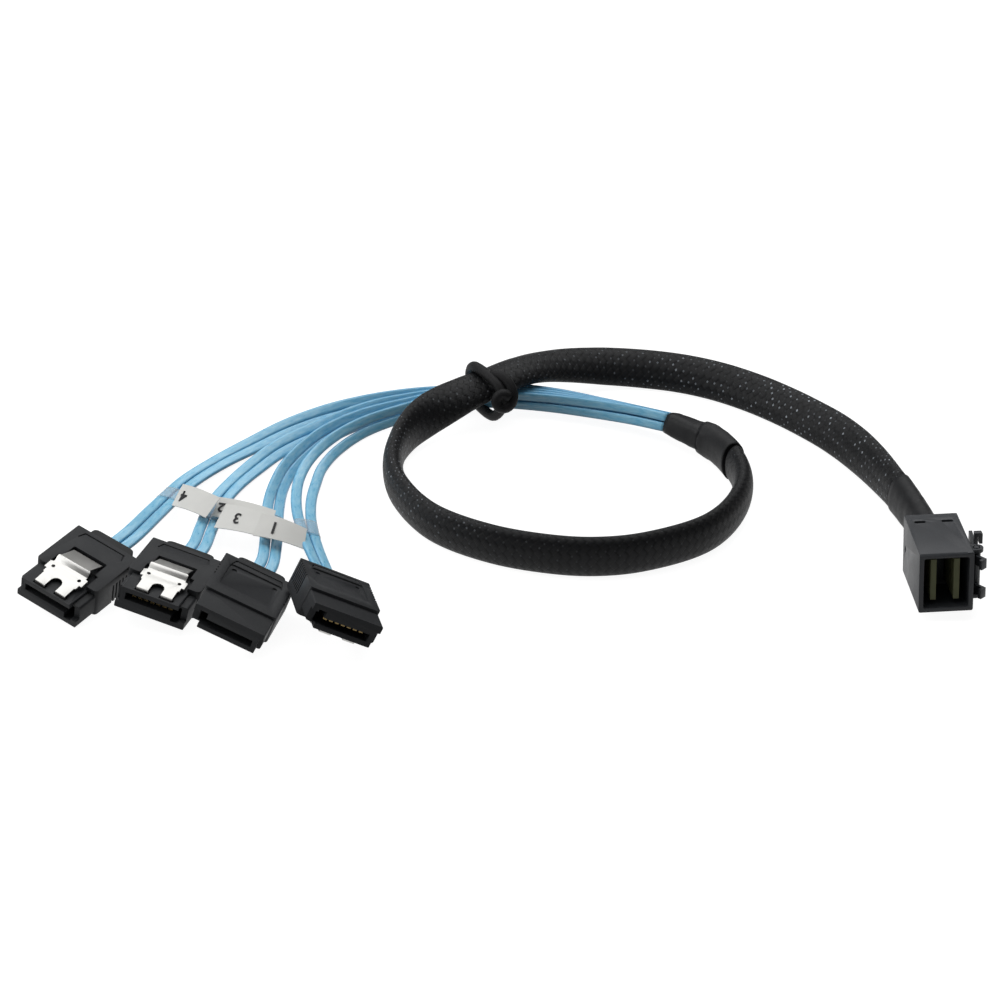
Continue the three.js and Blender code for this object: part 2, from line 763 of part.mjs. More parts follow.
const shifted = ([x, y, z, lean]) => [x + FRAME_SHIFT[0], y + FRAME_SHIFT[1], z, lean ?? 0];
const inFrame = (frame, ...point) => new THREE.Vector3(...point).applyMatrix4(frame).toArray();

// The trunk from the host plug's rear to the breakout: x, y, z and the section's lean from upright
const trunkRoute = new Route([
  inFrame(hostFrame, 0, -GAP, hostMiddle),
  inFrame(hostFrame, 0, -6, hostMiddle),
  ...[
    [81.2, -2.8, 5.0, 8],
    [76.4, 11.6, 4.4, 27],
    [71.7, 21.5, 3.8, 40],
    [66.9, 28.2, 3.6, 45],
    [62.0, 33.7, 3.6, 45],
    [55.7, 39.6, 3.6, 45],
    [48.3, 44.9, 3.6, 45],
    [40.5, 48.6, 3.6, 45],
    [32.3, 50.6, 3.7, 45],
    [22.8, 50.8, 4.3, 50],
    [13.4, 47.4, 6.2, 65],
    [5.4, 41.6, 8.2, 80],
    [-1.5, 36.0, 8.4, 82],
    [-8.6, 31.6, 7.2, 65],
    [-15.0, 27.0, 5.6, 35],
    [-19.3, 21.4, 4.7, 12],
    [-21.8, 14.1, 4.4, 0],
    [-22.4, 5.5, 4.4, 0],
    [-20.7, -3.5, 4.4, 0],
    [-13.6, -16.0, 4.4, 0],
    [-2.0, -24.2, 4.4, 0],
    [10.0, -28.2, 4.4, 0],
    [19.0, -29.1, 4.4, 0],
    [28.5, -27.4, 4.4, 0],
    [41.4, -20.4, 4.4, 0],
    [48.2, -10.1, 4.4, 0],
    [50.3, 1.0, 4.4, 0],
    [46.4, 14.6, 4.4, 0],
    [37.2, 25.3, 4.0, 25],
  ].map(shifted),
]);
const trunkLength = trunkRoute.line.getLength();
const shrinkEnd = HOST_SHRINK_LENGTH / trunkLength;
const innerStart = 1 - INNER_SHRINK_LENGTH / trunkLength;
const outerStart = innerStart - OUTER_SHRINK_LENGTH / trunkLength;
const seamGap = GAP / trunkLength;

function trunkPieces() {
  const host = oval(HOST_SHRINK_WIDE, HOST_SHRINK_NARROW, 12);
  const sleeve = oval(SLEEVE_WIDE, SLEEVE_NARROW, 12);
  const outer = oval(OUTER_SHRINK_WIDE, OUTER_SHRINK_NARROW, 12);
  const [wide, narrow] = [INNER_SHRINK_WIDE / 2, INNER_SHRINK_NARROW / 2];
  const inner = rectangle(-narrow, -wide, narrow, wide, 1.4);
  return {
    host_shrink: tube(trunkRoute.stretch(0, shrinkEnd), host, 5),
    trunk_sleeve: tube(trunkRoute.stretch(shrinkEnd + seamGap, outerStart - seamGap), sleeve, 60),
    breakout_shrink_outer: tube(trunkRoute.stretch(outerStart, innerStart - seamGap), outer, 4),
    breakout_shrink_inner: tube(trunkRoute.stretch(innerStart, 1), inner, 3),
  };
}

const breakout = trunkRoute.line.getPointAt(1);
const breakoutHeading = trunkRoute.line.getTangentAt(1);

// The leads run in pairs, one pair to a drive plug. A row is a place along a pair: its middle, the
// direction from the lower lead to the upper one, and how far apart the two are. Up to the tie the
// four pairs lie side by side as one bundle, each lead standing on its edge.
const rowOf = (x, y, z, lean, spacing = LEAD_WIDTH + 0.2) => ({
  middle: new THREE.Vector3(x + FRAME_SHIFT[0], y + FRAME_SHIFT[1], z),
  lean,
  spacing,
});

const bundleRows = [
  [29.6, 29.8, 3.5, 27],
  [21.6, 33.4, 3.3, 20],
  [11.6, 36.6, 3.5, 8],
  [1.5, 38.2, 3.8, 0],
  [-4.4, 38.6, 3.7, 0],
  [-11.0, 38.6, 3.2, 10],
];

// After the tie the pairs turn flat one by one and part: x, y, z, lean and spacing
const fanRows = {
  4: [
    [-19.8, 39.4, 2.6, 20],
    [-28.5, 37.1, 2.3, 35],
    [-37.1, 33.4, 2.0, 50],
    [-45.4, 27.6, 1.8, 60],
    [-53.5, 19.7, 1.5, 72],
    [-59.4, 13.3, 1.4, 80],
    [-65.0, 5.0, 1.7, 84, 2.4],
    [-68.0, -3.0, 2.6, 84, 2.4],
    [-70.6, -12.0, 4.0, 80, 2.4],
  ],
  3: [
    [-19.7, 37.4, 2.6, 20],
    [-28.4, 34.0, 2.3, 35],
    [-38.4, 26.6, 2.0, 50],
    [-47.0, 18.3, 1.8, 60],
    [-52.0, 10.8, 1.5, 72],
    [-55.4, 4.2, 1.5, 80],
    [-57.7, -2.1, 1.7, 84, 2.4],
    [-58.9, -9.3, 2.3, 82, 2.4],
    [-59.6, -17.0, 3.1, 78, 2.4],
  ],
  2: [
    [-19.5, 35.5, 2.6, 20],
    [-30.0, 30.4, 2.3, 28],
    [-37.4, 23.4, 2.2, 35],
    [-42.0, 15.6, 2.2, 40],
    [-44.7, 8.4, 2.3, 45],
    [-46.0, 1.0, 2.7, 55],
    [-46.4, -7.0, 3.5, 66, 2.4],
    [-46.2, -15.8, 4.2, 74, 2.4],
    [-45.8, -24.6, 4.8, 72, 2.4],
  ],
  1: [
    [-19.2, 33.6, 2.6, 20],
    [-29.2, 27.0, 2.3, 30, 2.4],
    [-35.4, 19.4, 2.1, 45, 2.8],
    [-38.9, 11.5, 2.0, 62, 3.2],
    [-40.2, 4.0, 2.2, 72, 3.6],
    [-40.5, -3.8, 2.8, 76, 3.2],
    [-40.0, -11.4, 3.5, 76, 2.8],
    [-38.9, -18.6, 4.3, 72, 2.4],
    [-37.3, -26.4, 5.0, 66, 2.4],
  ],
};

const up = new THREE.Vector3(0, 0, 1);
const lanePitch = LEAD_THICKNESS + 0.2;

// The direction from the lower lead to the upper one, leaning from upright to the right of travel
function leanDirection(heading, lean) {
  const upright = up.clone().addScaledVector(heading, -up.dot(heading)).normalize();
  return upright.applyAxisAngle(heading, radians(lean));
}

// The row at a drive plug's rear, a given distance behind its strain relief
function plugRow(plug, back) {
  const frame = driveFrames[plug];
  const sideways = new THREE.Vector3(1, 0, 0).transformDirection(frame);
  if (up.clone().transformDirection(frame).z < 0) sideways.negate();
  const heading = new THREE.Vector3(0, 1, 0).transformDirection(frame);
  const middle = new THREE.Vector3(0, -RELIEF_OUT - back, LEAD_HEIGHT).applyMatrix4(frame);
  const lean = THREE.MathUtils.radToDeg(sideways.angleTo(leanDirection(heading, 0)));
  return { middle, lean, heading, spacing: LEAD_SPACING };
}

function pairRows(plug) {
  const first = {
    middle: breakout.clone().addScaledVector(breakoutHeading, GAP),
    lean: trunkRoute.leans.at(-1),
    heading: breakoutHeading,
    spacing: LEAD_WIDTH + 0.2,
  };
  const bundle = [first, ...bundleRows.map((row) => rowOf(...row))];
  const fan = fanRows[plug].map((row) => rowOf(...row));
  const rows = [...bundle, ...fan, plugRow(plug, LEAD_STRAIGHT), plugRow(plug, GAP)];
  rows.forEach((row, index) => {
    const before = rows[Math.max(index - 1, 0)].middle;
    const after = rows[Math.min(index + 1, rows.length - 1)].middle;
    row.heading = row.heading ?? after.clone().sub(before).normalize();
    row.toUpper = leanDirection(row.heading, row.lean);
  });
  bundle.forEach((row) => {
    const away = row.heading.clone().cross(row.toUpper);
    row.middle = row.middle.clone().addScaledVector(away, (plug - 2.5) * lanePitch);
  });
  return rows;
}

function leadPieces(rows, plug) {
  const section = oval(LEAD_WIDTH, LEAD_THICKNESS, 8);
  const made = {};
  ["a", "b"].forEach((letter, layer) => {
    const points = rows.map(({ middle, toUpper, spacing, lean }) => {
      const point = middle.clone().addScaledVector(toUpper, (layer - 0.5) * spacing);
      return [...point.toArray(), lean];
    });
    made[`lead_${plug}${letter}`] = tube(new Route(points), section, 40);
  });
  return made;
}

// How each label leaves its leads: the row it is on, the side the flag goes to, whether it starts
// over or under the leads, and how far it rises to its end
const labelPlaces = {
  4: { row: 14, side: -1, over: 1, rise: 2.8 },
  3: { row: 14, side: -1, over: 1, rise: 4.4 },
  2: { row: 14, side: 1, over: -1, rise: -3.2 },
  1: { row: 14, side: 1, over: 1, rise: -0.4 },
};

// A wrap round both leads and a flag standing out sideways, extruded along the leads
function labelPiece(rows, plug) {
  const { row, side, over, rise } = labelPlaces[plug];
  const { middle, heading, toUpper, spacing } = rows[row];
  const wide = (spacing + LEAD_WIDTH) / 2 + LABEL_ROOM;
  const high = LEAD_THICKNESS / 2 + LABEL_ROOM;
  const sheet = LABEL_THICKNESS;
  const wrap = rectangle(-wide - sheet, -high - sheet, wide + sheet, high + sheet, 0.3);
  const room = rectangle(-wide, -high, wide, high);
  const level = over * (high + sheet / 2);
  const flag = strip(
    [
      [0, level],
      [side * wide, level],
      [side * (wide + LABEL_LENGTH), level + rise],
    ],
    sheet,
  );
  const half = LABEL_WIDTH / 2;
  const made = cut(
    join(alongY(wrap, -half, half, 2), alongY(flag, -half, half)),
    alongY(room, -half - 1, half + 1),
  );
  const upward = new THREE.Vector3().crossVectors(toUpper, heading);
  const frame = new THREE.Matrix4().makeBasis(toUpper, heading, upward).setPosition(middle);
  return made.transform(frame.elements);
}

// The tie: a band round the trunk and the bundle under it, with its knot on the near side
const TIE_AT = [-1.4, 36.6];
const TIE_TURN = 20; // degrees, the band's axis from the x axis
const TIE_LOW = 0.1;

function tiePiece() {
  const wide = TIE_ROOM_WIDE / 2;
  const low = TIE_LOW + TIE_THICKNESS;
  const outer = rectangle(
    -wide - TIE_THICKNESS,
    TIE_LOW,
    wide + TIE_THICKNESS,
    low + TIE_ROOM_HIGH + TIE_THICKNESS,
    2.2,
  );
  const room = rectangle(-wide, low, wide, low + TIE_ROOM_HIGH, 1.2);
  const band = cut(
    alongX(outer, -TIE_WIDTH / 2, TIE_WIDTH / 2),
    alongX(room, -TIE_WIDTH, TIE_WIDTH),
  );
  const knot = solid(new THREE.SphereGeometry(KNOT_RADIUS, 10, 6)).translate([
    0,
    -wide - TIE_THICKNESS - KNOT_RADIUS / 3,
    low + TIE_ROOM_HIGH * 0.55,
  ]);
  const tail = block(
    [-TIE_WIDTH / 2 - 1.4, -wide - TIE_THICKNESS - 0.6, low + 1.2],
    [TIE_WIDTH / 2 + 1.2, -wide - 0.3, low + 3.2],
  );
  return join(band, knot, tail)
    .rotate([0, 0, TIE_TURN])
    .translate([TIE_AT[0] + FRAME_SHIFT[0], TIE_AT[1] + FRAME_SHIFT[1], 0]);
}

// The scene graph

function material(color, roughness, metalness = 0) {
  return new THREE.MeshStandardMaterial({ color, roughness, metalness });
}

const finishes = {
  housing: () => material(0x2b2c2e, 0.55),
  relief: () => material(0x242527, 0.6),
  contacts: () => material(0xc9a24a, 0.3, 1),
  spring: () => material(0xd9d8d4, 0.28, 1),
  card: () => material(0x6f7148, 0.5),
  sleeve: () => material(0x111214, 0.6),
  shrink: () => material(0x17181a, 0.5),
  tie: () => material(0x141416, 0.75),
  lead: () => material(0x86c5e6, 0.25),
  label: () => material(0xdcdcd6, 0.6),
};

function node(name, made, finish) {
  const mesh = new THREE.Mesh(geometryOf(made), finishes[finish]());
  mesh.name = name;
  return mesh;
}

function placed(frame, meshes) {
  const group = new THREE.Group();
  frame.decompose(group.position, group.quaternion, group.scale);
  group.add(...meshes);
  return group;
}

const cable = new THREE.Group();
cable.add(
  placed(hostFrame, [
    node("host_shell", host.shell, "housing"),
    node("host_rear_insert", host.rear_insert, "relief"),
    node("host_card_left", host.card_left, "card"),
    node("host_card_right", host.card_right, "card"),
    node("host_latch", host.latch, "housing"),
  ]),
);
for (const plug of [1, 2, 3, 4]) {
  cable.add(
    placed(driveFrames[plug], [
      node(`drive_housing_${plug}`, drive.housing, "housing"),
      node(`drive_relief_${plug}`, drive.relief, "relief"),
      node(`drive_contacts_${plug}`, drive.contacts, "contacts"),
      node(`drive_latch_${plug}`, drive.latch, "spring"),
    ]),
  );
}
for (const [name, made] of Object.entries(trunkPieces())) {
  cable.add(node(name, made, name === "trunk_sleeve" ? "sleeve" : "shrink"));
}
cable.add(node("trunk_tie", tiePiece(), "tie"));
for (const plug of [1, 2, 3, 4]) {
  const rows = pairRows(plug);
  for (const [name, made] of Object.entries(leadPieces(rows, plug))) cable.add(node(name, made, "lead"));
  cable.add(node(`label_${plug}`, labelPiece(rows, plug), "label"));
}

export default cable;
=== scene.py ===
# %% [markdown]
# # A breakout cable: one host plug, a braided trunk, eight flat leads and four drive plugs
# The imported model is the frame: every solid is already in its place and at its size. This script
# gives each of them the surface it has on the real cable, lays the trunk and the leads again as
# smooth tubes that carry their own patterns, and sets up the camera and the light.
# %% Load the frame
import math

import bmesh
import bpy
from mathutils import Matrix, Vector


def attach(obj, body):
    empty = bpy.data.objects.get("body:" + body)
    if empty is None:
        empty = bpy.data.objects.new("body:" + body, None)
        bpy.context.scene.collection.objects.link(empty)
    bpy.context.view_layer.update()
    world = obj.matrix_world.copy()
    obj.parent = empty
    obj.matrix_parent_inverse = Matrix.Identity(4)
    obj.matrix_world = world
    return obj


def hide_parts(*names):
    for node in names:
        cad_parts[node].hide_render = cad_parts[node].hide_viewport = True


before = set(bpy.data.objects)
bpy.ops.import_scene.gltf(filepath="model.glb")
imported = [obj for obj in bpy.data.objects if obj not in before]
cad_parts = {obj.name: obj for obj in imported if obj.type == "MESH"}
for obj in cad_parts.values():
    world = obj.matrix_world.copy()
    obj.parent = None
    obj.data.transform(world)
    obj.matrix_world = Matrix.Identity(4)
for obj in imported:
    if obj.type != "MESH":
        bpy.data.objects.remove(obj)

MM = 0.001
SHIFT = Vector((-0.03, 43.37, 0.0)) * MM  # from the layout's middle to the frame's origin
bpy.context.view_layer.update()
print("solids in the frame:", len(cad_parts))

# %% [markdown]
# ## Camera
# The photograph looks down on the cable by 31 degrees, from far enough away that parallel edges
# hardly converge. A long lens at 583 mm gives the same picture. A camera could be aimed by a
# constraint, but one turn about X is easier to read and does the same.
# %% Camera
VIEW_PITCH = math.radians(31)
VIEW_DISTANCE = 0.583

camera_data = bpy.data.cameras.new("camera")
camera_data.sensor_width = 36
camera_data.lens = 100.8
camera = bpy.data.objects.new("camera", camera_data)
toward_camera = Vector((0, -math.cos(VIEW_PITCH), math.sin(VIEW_PITCH)))
camera.location = SHIFT + toward_camera * VIEW_DISTANCE
camera.rotation_euler = (math.pi / 2 - VIEW_PITCH, 0, 0)
bpy.context.scene.collection.objects.link(camera)
bpy.context.scene.camera = camera
bpy.context.scene.view_settings.view_transform = "Standard"
print("camera at", [round(c, 3) for c in camera.location])

# %% [markdown]
# ## Where the plugs lie
# Each plug was modelled once, in its own axes: x across it, y out of its nose, z towards its latch.
# It then lies on the table with a yaw, a pitch and a roll. The same three turns are needed here
# for whatever is made in a plug's own axes.
# %% Plug places
DRIVE_PLACES = {
    4: ((-78.3, -29.0, 2.279), (147.6, -3.1, -12.5)),
    3: ((-62.8, -31.7, 1.606), (164.3, 3.5, -12.5)),
    2: ((-46.4, -40.2, 8.500), (166.9, 2.2, 158.5)),
    1: ((-32.0, -41.5, 8.972), (192.6, 6.5, 151.0)),
}
HOST_PLACE = ((85.7, -27.6, 0.172), (182.1, 6.5, 2.0))


def place_matrix(place):
    at, (yaw, pitch, roll) = place
    turn = (
        Matrix.Rotation(math.radians(yaw), 4, "Z")
        @ Matrix.Rotation(math.radians(pitch), 4, "X")
        @ Matrix.Rotation(math.radians(roll), 4, "Y")
    )
    return Matrix.Translation(Vector(at) * MM + SHIFT) @ turn


drive_frames = {plug: place_matrix(place) for plug, place in DRIVE_PLACES.items()}
host_frame = place_matrix(HOST_PLACE)
print("drive plugs placed:", sorted(drive_frames))

# %% [markdown]
# ## Routes
# A cable follows a smooth curve through a few given points. Beside its place, each point
# keeps how far the flat section leans from upright, to the right of travel. A curve object could
# hold both, but its own twisting rules would turn a flat section where the real one lies still.
# So the curve is worked out here, and the section is set up square to it at every step.
# %% A smooth route with a leaning section
UP = Vector((0, 0, 1))
FINE_STEPS = 24  # steps between two rows, before the even stations are laid


def lean_direction(heading, lean):
    upright = (UP - heading * UP.dot(heading)).normalized()
    return Matrix.Rotation(math.radians(lean), 3, heading) @ upright


def spline_point(p0, p1, p2, p3, t):
    """A point between p1 and p2 on a centripetal curve through all four."""
    d0, d1, d2 = ((b - a).length ** 0.5 for a, b in ((p0, p1), (p1, p2), (p2, p3)))
    first = (p1 - p0) / d0 - (p2 - p0) / (d0 + d1) + (p2 - p1) / d1
    last = (p2 - p1) / d1 - (p3 - p1) / (d1 + d2) + (p3 - p2) / d2
    first, last = first * d1, last * d1
    square = -3 * p1 + 3 * p2 - 2 * first - last
    cube = 2 * p1 - 2 * p2 + first + last
    return p1 + first * t + square * t * t + cube * t**3


def route(rows, step):
    """Stations (place, heading, lean, distance along) every step along the curve through rows."""
    points = [Vector(row[:3]) for row in rows]
    leans = [row[3] for row in rows]
    ends = [points[0] * 2 - points[1], *points, points[-1] * 2 - points[-2]]
    fine = []
    for i in range(len(points) - 1):
        for j in range(FINE_STEPS):
            t = j / FINE_STEPS
            lean = leans[i] + (leans[i + 1] - leans[i]) * t
            fine.append((spline_point(*ends[i : i + 4], t), lean))
    fine.append((points[-1], leans[-1]))
    along = [0.0]
    for (a, _), (b, _) in zip(fine, fine[1:]):
        along.append(along[-1] + (b - a).length)
    count = max(2, round(along[-1] / step))
    stations, i = [], 0
    for k in range(count + 1):
        s = along[-1] * k / count
        while i < len(along) - 2 and along[i + 1] < s:
            i += 1
        t = (s - along[i]) / (along[i + 1] - along[i])
        place = fine[i][0].lerp(fine[i + 1][0], t)
        lean = fine[i][1] + (fine[i + 1][1] - fine[i][1]) * t
        stations.append([place, None, lean, s])
    for k, station in enumerate(stations):
        before, after = stations[max(k - 1, 0)][0], stations[min(k + 1, count)][0]
        station[1] = (after - before).normalized()
    return stations


# %% [markdown]
# ## Tubes
# A tube is a ring of points set down at every station and joined to the ring before it. The rings
# are circles from bmesh, moved into the section's outline, and bridge_loops makes the faces. Each
# point's place round the ring and along the tube goes into a UV map, which carries the braid and
# the foil of the leads round every bend. A bevelled curve would lose that map's true length.
# %% Tubes
def stretch(stations, start, end):
    return [station for station in stations if start <= station[3] <= end]


def tube(name, stations, outline):
    """A closed tube; outline(distance) gives the section as (upright, across) pairs."""
    bm = bmesh.new()
    where, rings = {}, []
    for place, heading, lean, s in stations:
        section = outline(s)
        ring = bmesh.ops.create_circle(bm, segments=len(section), radius=1)["verts"]
        upright = lean_direction(heading, lean)
        across = heading.cross(upright)
        for k, (vert, (a, b)) in enumerate(zip(ring, section)):
            vert.co = place + upright * a + across * b
            where[vert] = (k / len(section), s / MM)
        edges = list({edge for vert in ring for edge in vert.link_edges})
        if rings:
            bmesh.ops.bridge_loops(bm, edges=rings[-1] + edges)
        rings.append(edges)
    for edges in (rings[0], rings[-1]):
        bmesh.ops.contextual_create(bm, geom=edges)
    bmesh.ops.recalc_face_normals(bm, faces=bm.faces)
    uv = bm.loops.layers.uv.new("UVMap")
    for face in bm.faces:
        face.smooth = len(face.verts) == 4
        turns = [where[loop.vert][0] for loop in face.loops]
        wraps = max(turns) - min(turns) > 0.5
        for loop, turn in zip(face.loops, turns):
            loop[uv].uv = (turn + 1 if wraps and turn < 0.5 else turn, where[loop.vert][1])
    return finished(name, bm)


def finished(name, bm):
    mesh = bpy.data.meshes.new(name)
    bm.to_mesh(mesh)
    bm.free()
    piece = bpy.data.objects.new(name, mesh)
    bpy.context.scene.collection.objects.link(piece)
    return piece


def oval(high, wide, sides=32, square=2.0):
    """An outline of the given size; above 2, square fills out its corners."""
    points = []
    for k in range(sides):
        c, s = math.cos(math.tau * k / sides), math.sin(math.tau * k / sides)
        a = math.copysign(abs(c) ** (2 / square), c) * high / 2
        b = math.copysign(abs(s) ** (2 / square), s) * wide / 2
        points.append((a * MM, b * MM))
    return points


# %% [markdown]
# ## The trunk's route
# The trunk leaves the host plug, turns onto its side as it runs back and round, crosses the leads
# just under the tie, and stands on its edge through the loop to the breakout.
# %% Trunk route
TRUNK_ROWS = [
    (81.2, -2.8, 5.0, 8),
    (76.4, 11.6, 4.4, 27),
    (71.7, 21.5, 3.8, 40),
    (66.9, 28.2, 3.6, 45),
    (62.0, 33.7, 3.6, 45),
    (55.7, 39.6, 3.6, 45),
    (48.3, 44.9, 3.6, 45),
    (40.5, 48.6, 3.6, 45),
    (32.3, 50.6, 3.7, 45),
    (22.8, 50.8, 4.3, 50),
    (13.4, 47.4, 6.2, 65),
    (5.4, 41.6, 8.2, 80),
    (-1.5, 36.0, 8.4, 82),
    (-8.6, 31.6, 7.2, 65),
    (-15.0, 27.0, 5.6, 35),
    (-19.3, 21.4, 4.7, 12),
    (-21.8, 14.1, 4.4, 0),
    (-22.4, 5.5, 4.4, 0),
    (-20.7, -3.5, 4.4, 0),
    (-13.6, -16.0, 4.4, 0),
    (-2.0, -24.2, 4.4, 0),
    (10.0, -28.2, 4.4, 0),
    (19.0, -29.1, 4.4, 0),
    (28.5, -27.4, 4.4, 0),
    (41.4, -20.4, 4.4, 0),
    (48.2, -10.1, 4.4, 0),
    (50.3, 1.0, 4.4, 0),
    (46.4, 14.6, 4.4, 0),
    (37.2, 25.3, 4.0, 25),
]
HOST_HEIGHT = 12.4
HOST_STRAIGHT = 6.0
SEAT_GAP = 0.3
TRUNK_STEP = 1.0


def in_frame(row):
    return (*(Vector(row[:3]) * MM + SHIFT), row[3])


def from_plug(matrix, x, y, z):
    return matrix @ (Vector((x, y, z)) * MM)


trunk_rows = [
    (*from_plug(host_frame, 0, -SEAT_GAP, HOST_HEIGHT / 2), 0),
    (*from_plug(host_frame, 0, -HOST_STRAIGHT, HOST_HEIGHT / 2), 0),
    *map(in_frame, TRUNK_ROWS),
]
trunk = route(trunk_rows, TRUNK_STEP * MM)
trunk_length = trunk[-1][3]
print(f"trunk: {trunk_length / MM:.1f} mm")

# %% [markdown]
# ## The leads' routes
# Eight leads leave the breakout as one bundle, each standing on its edge: four side by side, in two
# layers. The two of a pair stay together, one over the other, and turn flat as the pairs fan out
# to their plugs. A row here is the middle of a pair, its lean, and how far apart the two leads are.
# %% Lead routes
LEAD_WIDTH = 2.0
LEAD_THICKNESS = 1.1
LEAD_SPACING = 2.4
LEAD_EXIT = (-2.3, 3.1)  # along the drive plug and above its underside
LEAD_STRAIGHT = 5.0
LEAD_STEP = 0.8
BREAKOUT_LEAN = 25
BUNDLE_SPACING = 2.2
BUNDLE_GAP = 0.2  # between pairs that lie side by side
MIDDLE_PLUG = 2.5
BUNDLE_ROWS = [
    (29.6, 29.8, 3.5, 27),
    (21.6, 33.4, 3.3, 20),
    (11.6, 36.6, 3.5, 8),
    (1.5, 38.2, 3.8, 0),
    (-4.4, 38.6, 3.7, 0),
    (-11.0, 38.6, 3.2, 10),
]
FAN_ROWS = {
    4: [
        (-19.8, 39.4, 2.6, 20, 2.2),
        (-28.5, 37.1, 2.3, 35, 2.2),
        (-37.1, 33.4, 2.0, 50, 2.2),
        (-45.4, 27.6, 1.8, 60, 2.2),
        (-53.5, 19.7, 1.5, 72, 2.2),
        (-59.4, 13.3, 1.4, 80, 2.2),
        (-65.0, 5.0, 1.7, 84, 2.4),
        (-68.0, -3.0, 2.6, 84, 2.4),
        (-70.6, -12.0, 4.0, 80, 2.4),
    ],
    3: [
        (-19.7, 37.4, 2.6, 20, 2.2),
        (-28.4, 34.0, 2.3, 35, 2.2),
        (-38.4, 26.6, 2.0, 50, 2.2),
        (-47.0, 18.3, 1.8, 60, 2.2),
        (-52.0, 10.8, 1.5, 72, 2.2),
        (-55.4, 4.2, 1.5, 80, 2.2),
        (-57.7, -2.1, 1.7, 84, 2.4),
        (-58.9, -9.3, 2.3, 82, 2.4),
        (-59.6, -17.0, 3.1, 78, 2.4),
    ],
    2: [
        (-19.5, 35.5, 2.6, 20, 2.2),
        (-30.0, 30.4, 2.3, 28, 2.2),
        (-37.4, 23.4, 2.2, 35, 2.2),
        (-42.0, 15.6, 2.2, 40, 2.2),
        (-44.7, 8.4, 2.3, 45, 2.2),
        (-46.0, 1.0, 2.7, 55, 2.2),
        (-46.4, -7.0, 3.5, 66, 2.4),
        (-46.2, -15.8, 4.2, 74, 2.4),
        (-45.8, -24.6, 4.8, 72, 2.4),
    ],
    1: [
        (-19.2, 33.6, 2.6, 20, 2.2),
        (-29.2, 27.0, 2.3, 30, 2.4),
        (-35.4, 19.4, 2.1, 45, 2.8),
        (-38.9, 11.5, 2.0, 62, 3.2),
        (-40.2, 4.0, 2.2, 72, 3.6),
        (-40.5, -3.8, 2.8, 76, 3.2),
        (-40.0, -11.4, 3.5, 76, 2.8),
        (-38.9, -18.6, 4.3, 72, 2.4),
        (-37.3, -26.4, 5.0, 66, 2.4),
    ],
}


def plug_row(plug, back):
    matrix = drive_frames[plug]
    turn = matrix.to_3x3()
    sideways = turn @ Vector((1, 0, 0))
    if (turn @ UP).z < 0:
        sideways.negate()
    heading = turn @ Vector((0, 1, 0))
    lean = math.degrees(sideways.angle(lean_direction(heading, 0)))
    middle = from_plug(matrix, 0, LEAD_EXIT[0] - back, LEAD_EXIT[1])
    return {"middle": middle, "lean": lean, "heading": heading, "spacing": LEAD_SPACING}


def pair_rows(plug):
    """The rows of one pair: each has its middle, heading, lean, spacing and way to the upper lead."""
    end, heading = trunk[-1][:2]
    mouth = end + heading * SEAT_GAP * MM
    bundle = [{"middle": mouth, "lean": BREAKOUT_LEAN, "heading": heading, "spacing": BUNDLE_SPACING}]
    for row in BUNDLE_ROWS:
        *middle, lean = in_frame(row)
        bundle.append({"middle": Vector(middle), "lean": lean, "spacing": BUNDLE_SPACING})
    rows = list(bundle)
    for row in FAN_ROWS[plug]:
        *middle, lean = in_frame(row)
        rows.append({"middle": Vector(middle), "lean": lean, "spacing": row[4]})
    rows += [plug_row(plug, LEAD_STRAIGHT), plug_row(plug, SEAT_GAP)]
    for i, row in enumerate(rows):
        before, after = rows[max(i - 1, 0)]["middle"], rows[min(i + 1, len(rows) - 1)]["middle"]
        row.setdefault("heading", (after - before).normalized())
        row["to_upper"] = lean_direction(row["heading"], row["lean"])
    for row in bundle:
        away = row["heading"].cross(row["to_upper"])
        row["middle"] = row["middle"] + away * (plug - MIDDLE_PLUG) * (LEAD_THICKNESS + BUNDLE_GAP) * MM
    return rows


pairs = {plug: pair_rows(plug) for plug in FAN_ROWS}
leads = {}
for plug, rows in pairs.items():
    for letter, layer in (("a", -0.5), ("b", 0.5)):
        points = [(*(r["middle"] + r["to_upper"] * layer * r["spacing"] * MM), r["lean"]) for r in rows]
        leads[f"lead_{plug}{letter}"] = route(points, LEAD_STEP * MM)
for name, line in leads.items():
    print(f"{name}: {line[-1][3] / MM:.1f} mm")

# %% [markdown]
# ## Node helpers
# Materials are node trees. A few small helpers keep them readable: add makes a node and links or
# sets its inputs, calc does one step of arithmetic, and the others stand for a pattern of nodes
# that comes back in most of the materials.
# %% Node helpers
def add(tree, kind, inputs=None, **settings):
    node = tree.nodes.new(kind)
    for key, value in settings.items():
        setattr(node, key, value)
    for key, value in (inputs or {}).items():
        if isinstance(value, bpy.types.NodeSocket):
            tree.links.new(value, node.inputs[key])
        else:
            node.inputs[key].default_value = value
    return node


def calc(tree, operation, *values):
    node = add(tree, "ShaderNodeMath", dict(enumerate(values)), operation=operation)
    return node.outputs[0]


def blend_colors(tree, factor, first, second):
    node = add(tree, "ShaderNodeMix", {0: factor, 6: first, 7: second}, data_type="RGBA")
    return node.outputs[2]


def noise(tree, vector, scale, detail, roughness=0.5):
    inputs = {"Vector": vector, "Scale": scale, "Detail": detail, "Roughness": roughness}
    return add(tree, "ShaderNodeTexNoise", inputs).outputs[0]


def set_bump(tree, shader, height, strength, distance):
    """Relief on the surface; the distance is its real height in metres."""
    node = add(tree, "ShaderNodeBump", {"Height": height, "Strength": strength, "Distance": distance})
    tree.links.new(node.outputs[0], shader.inputs["Normal"])


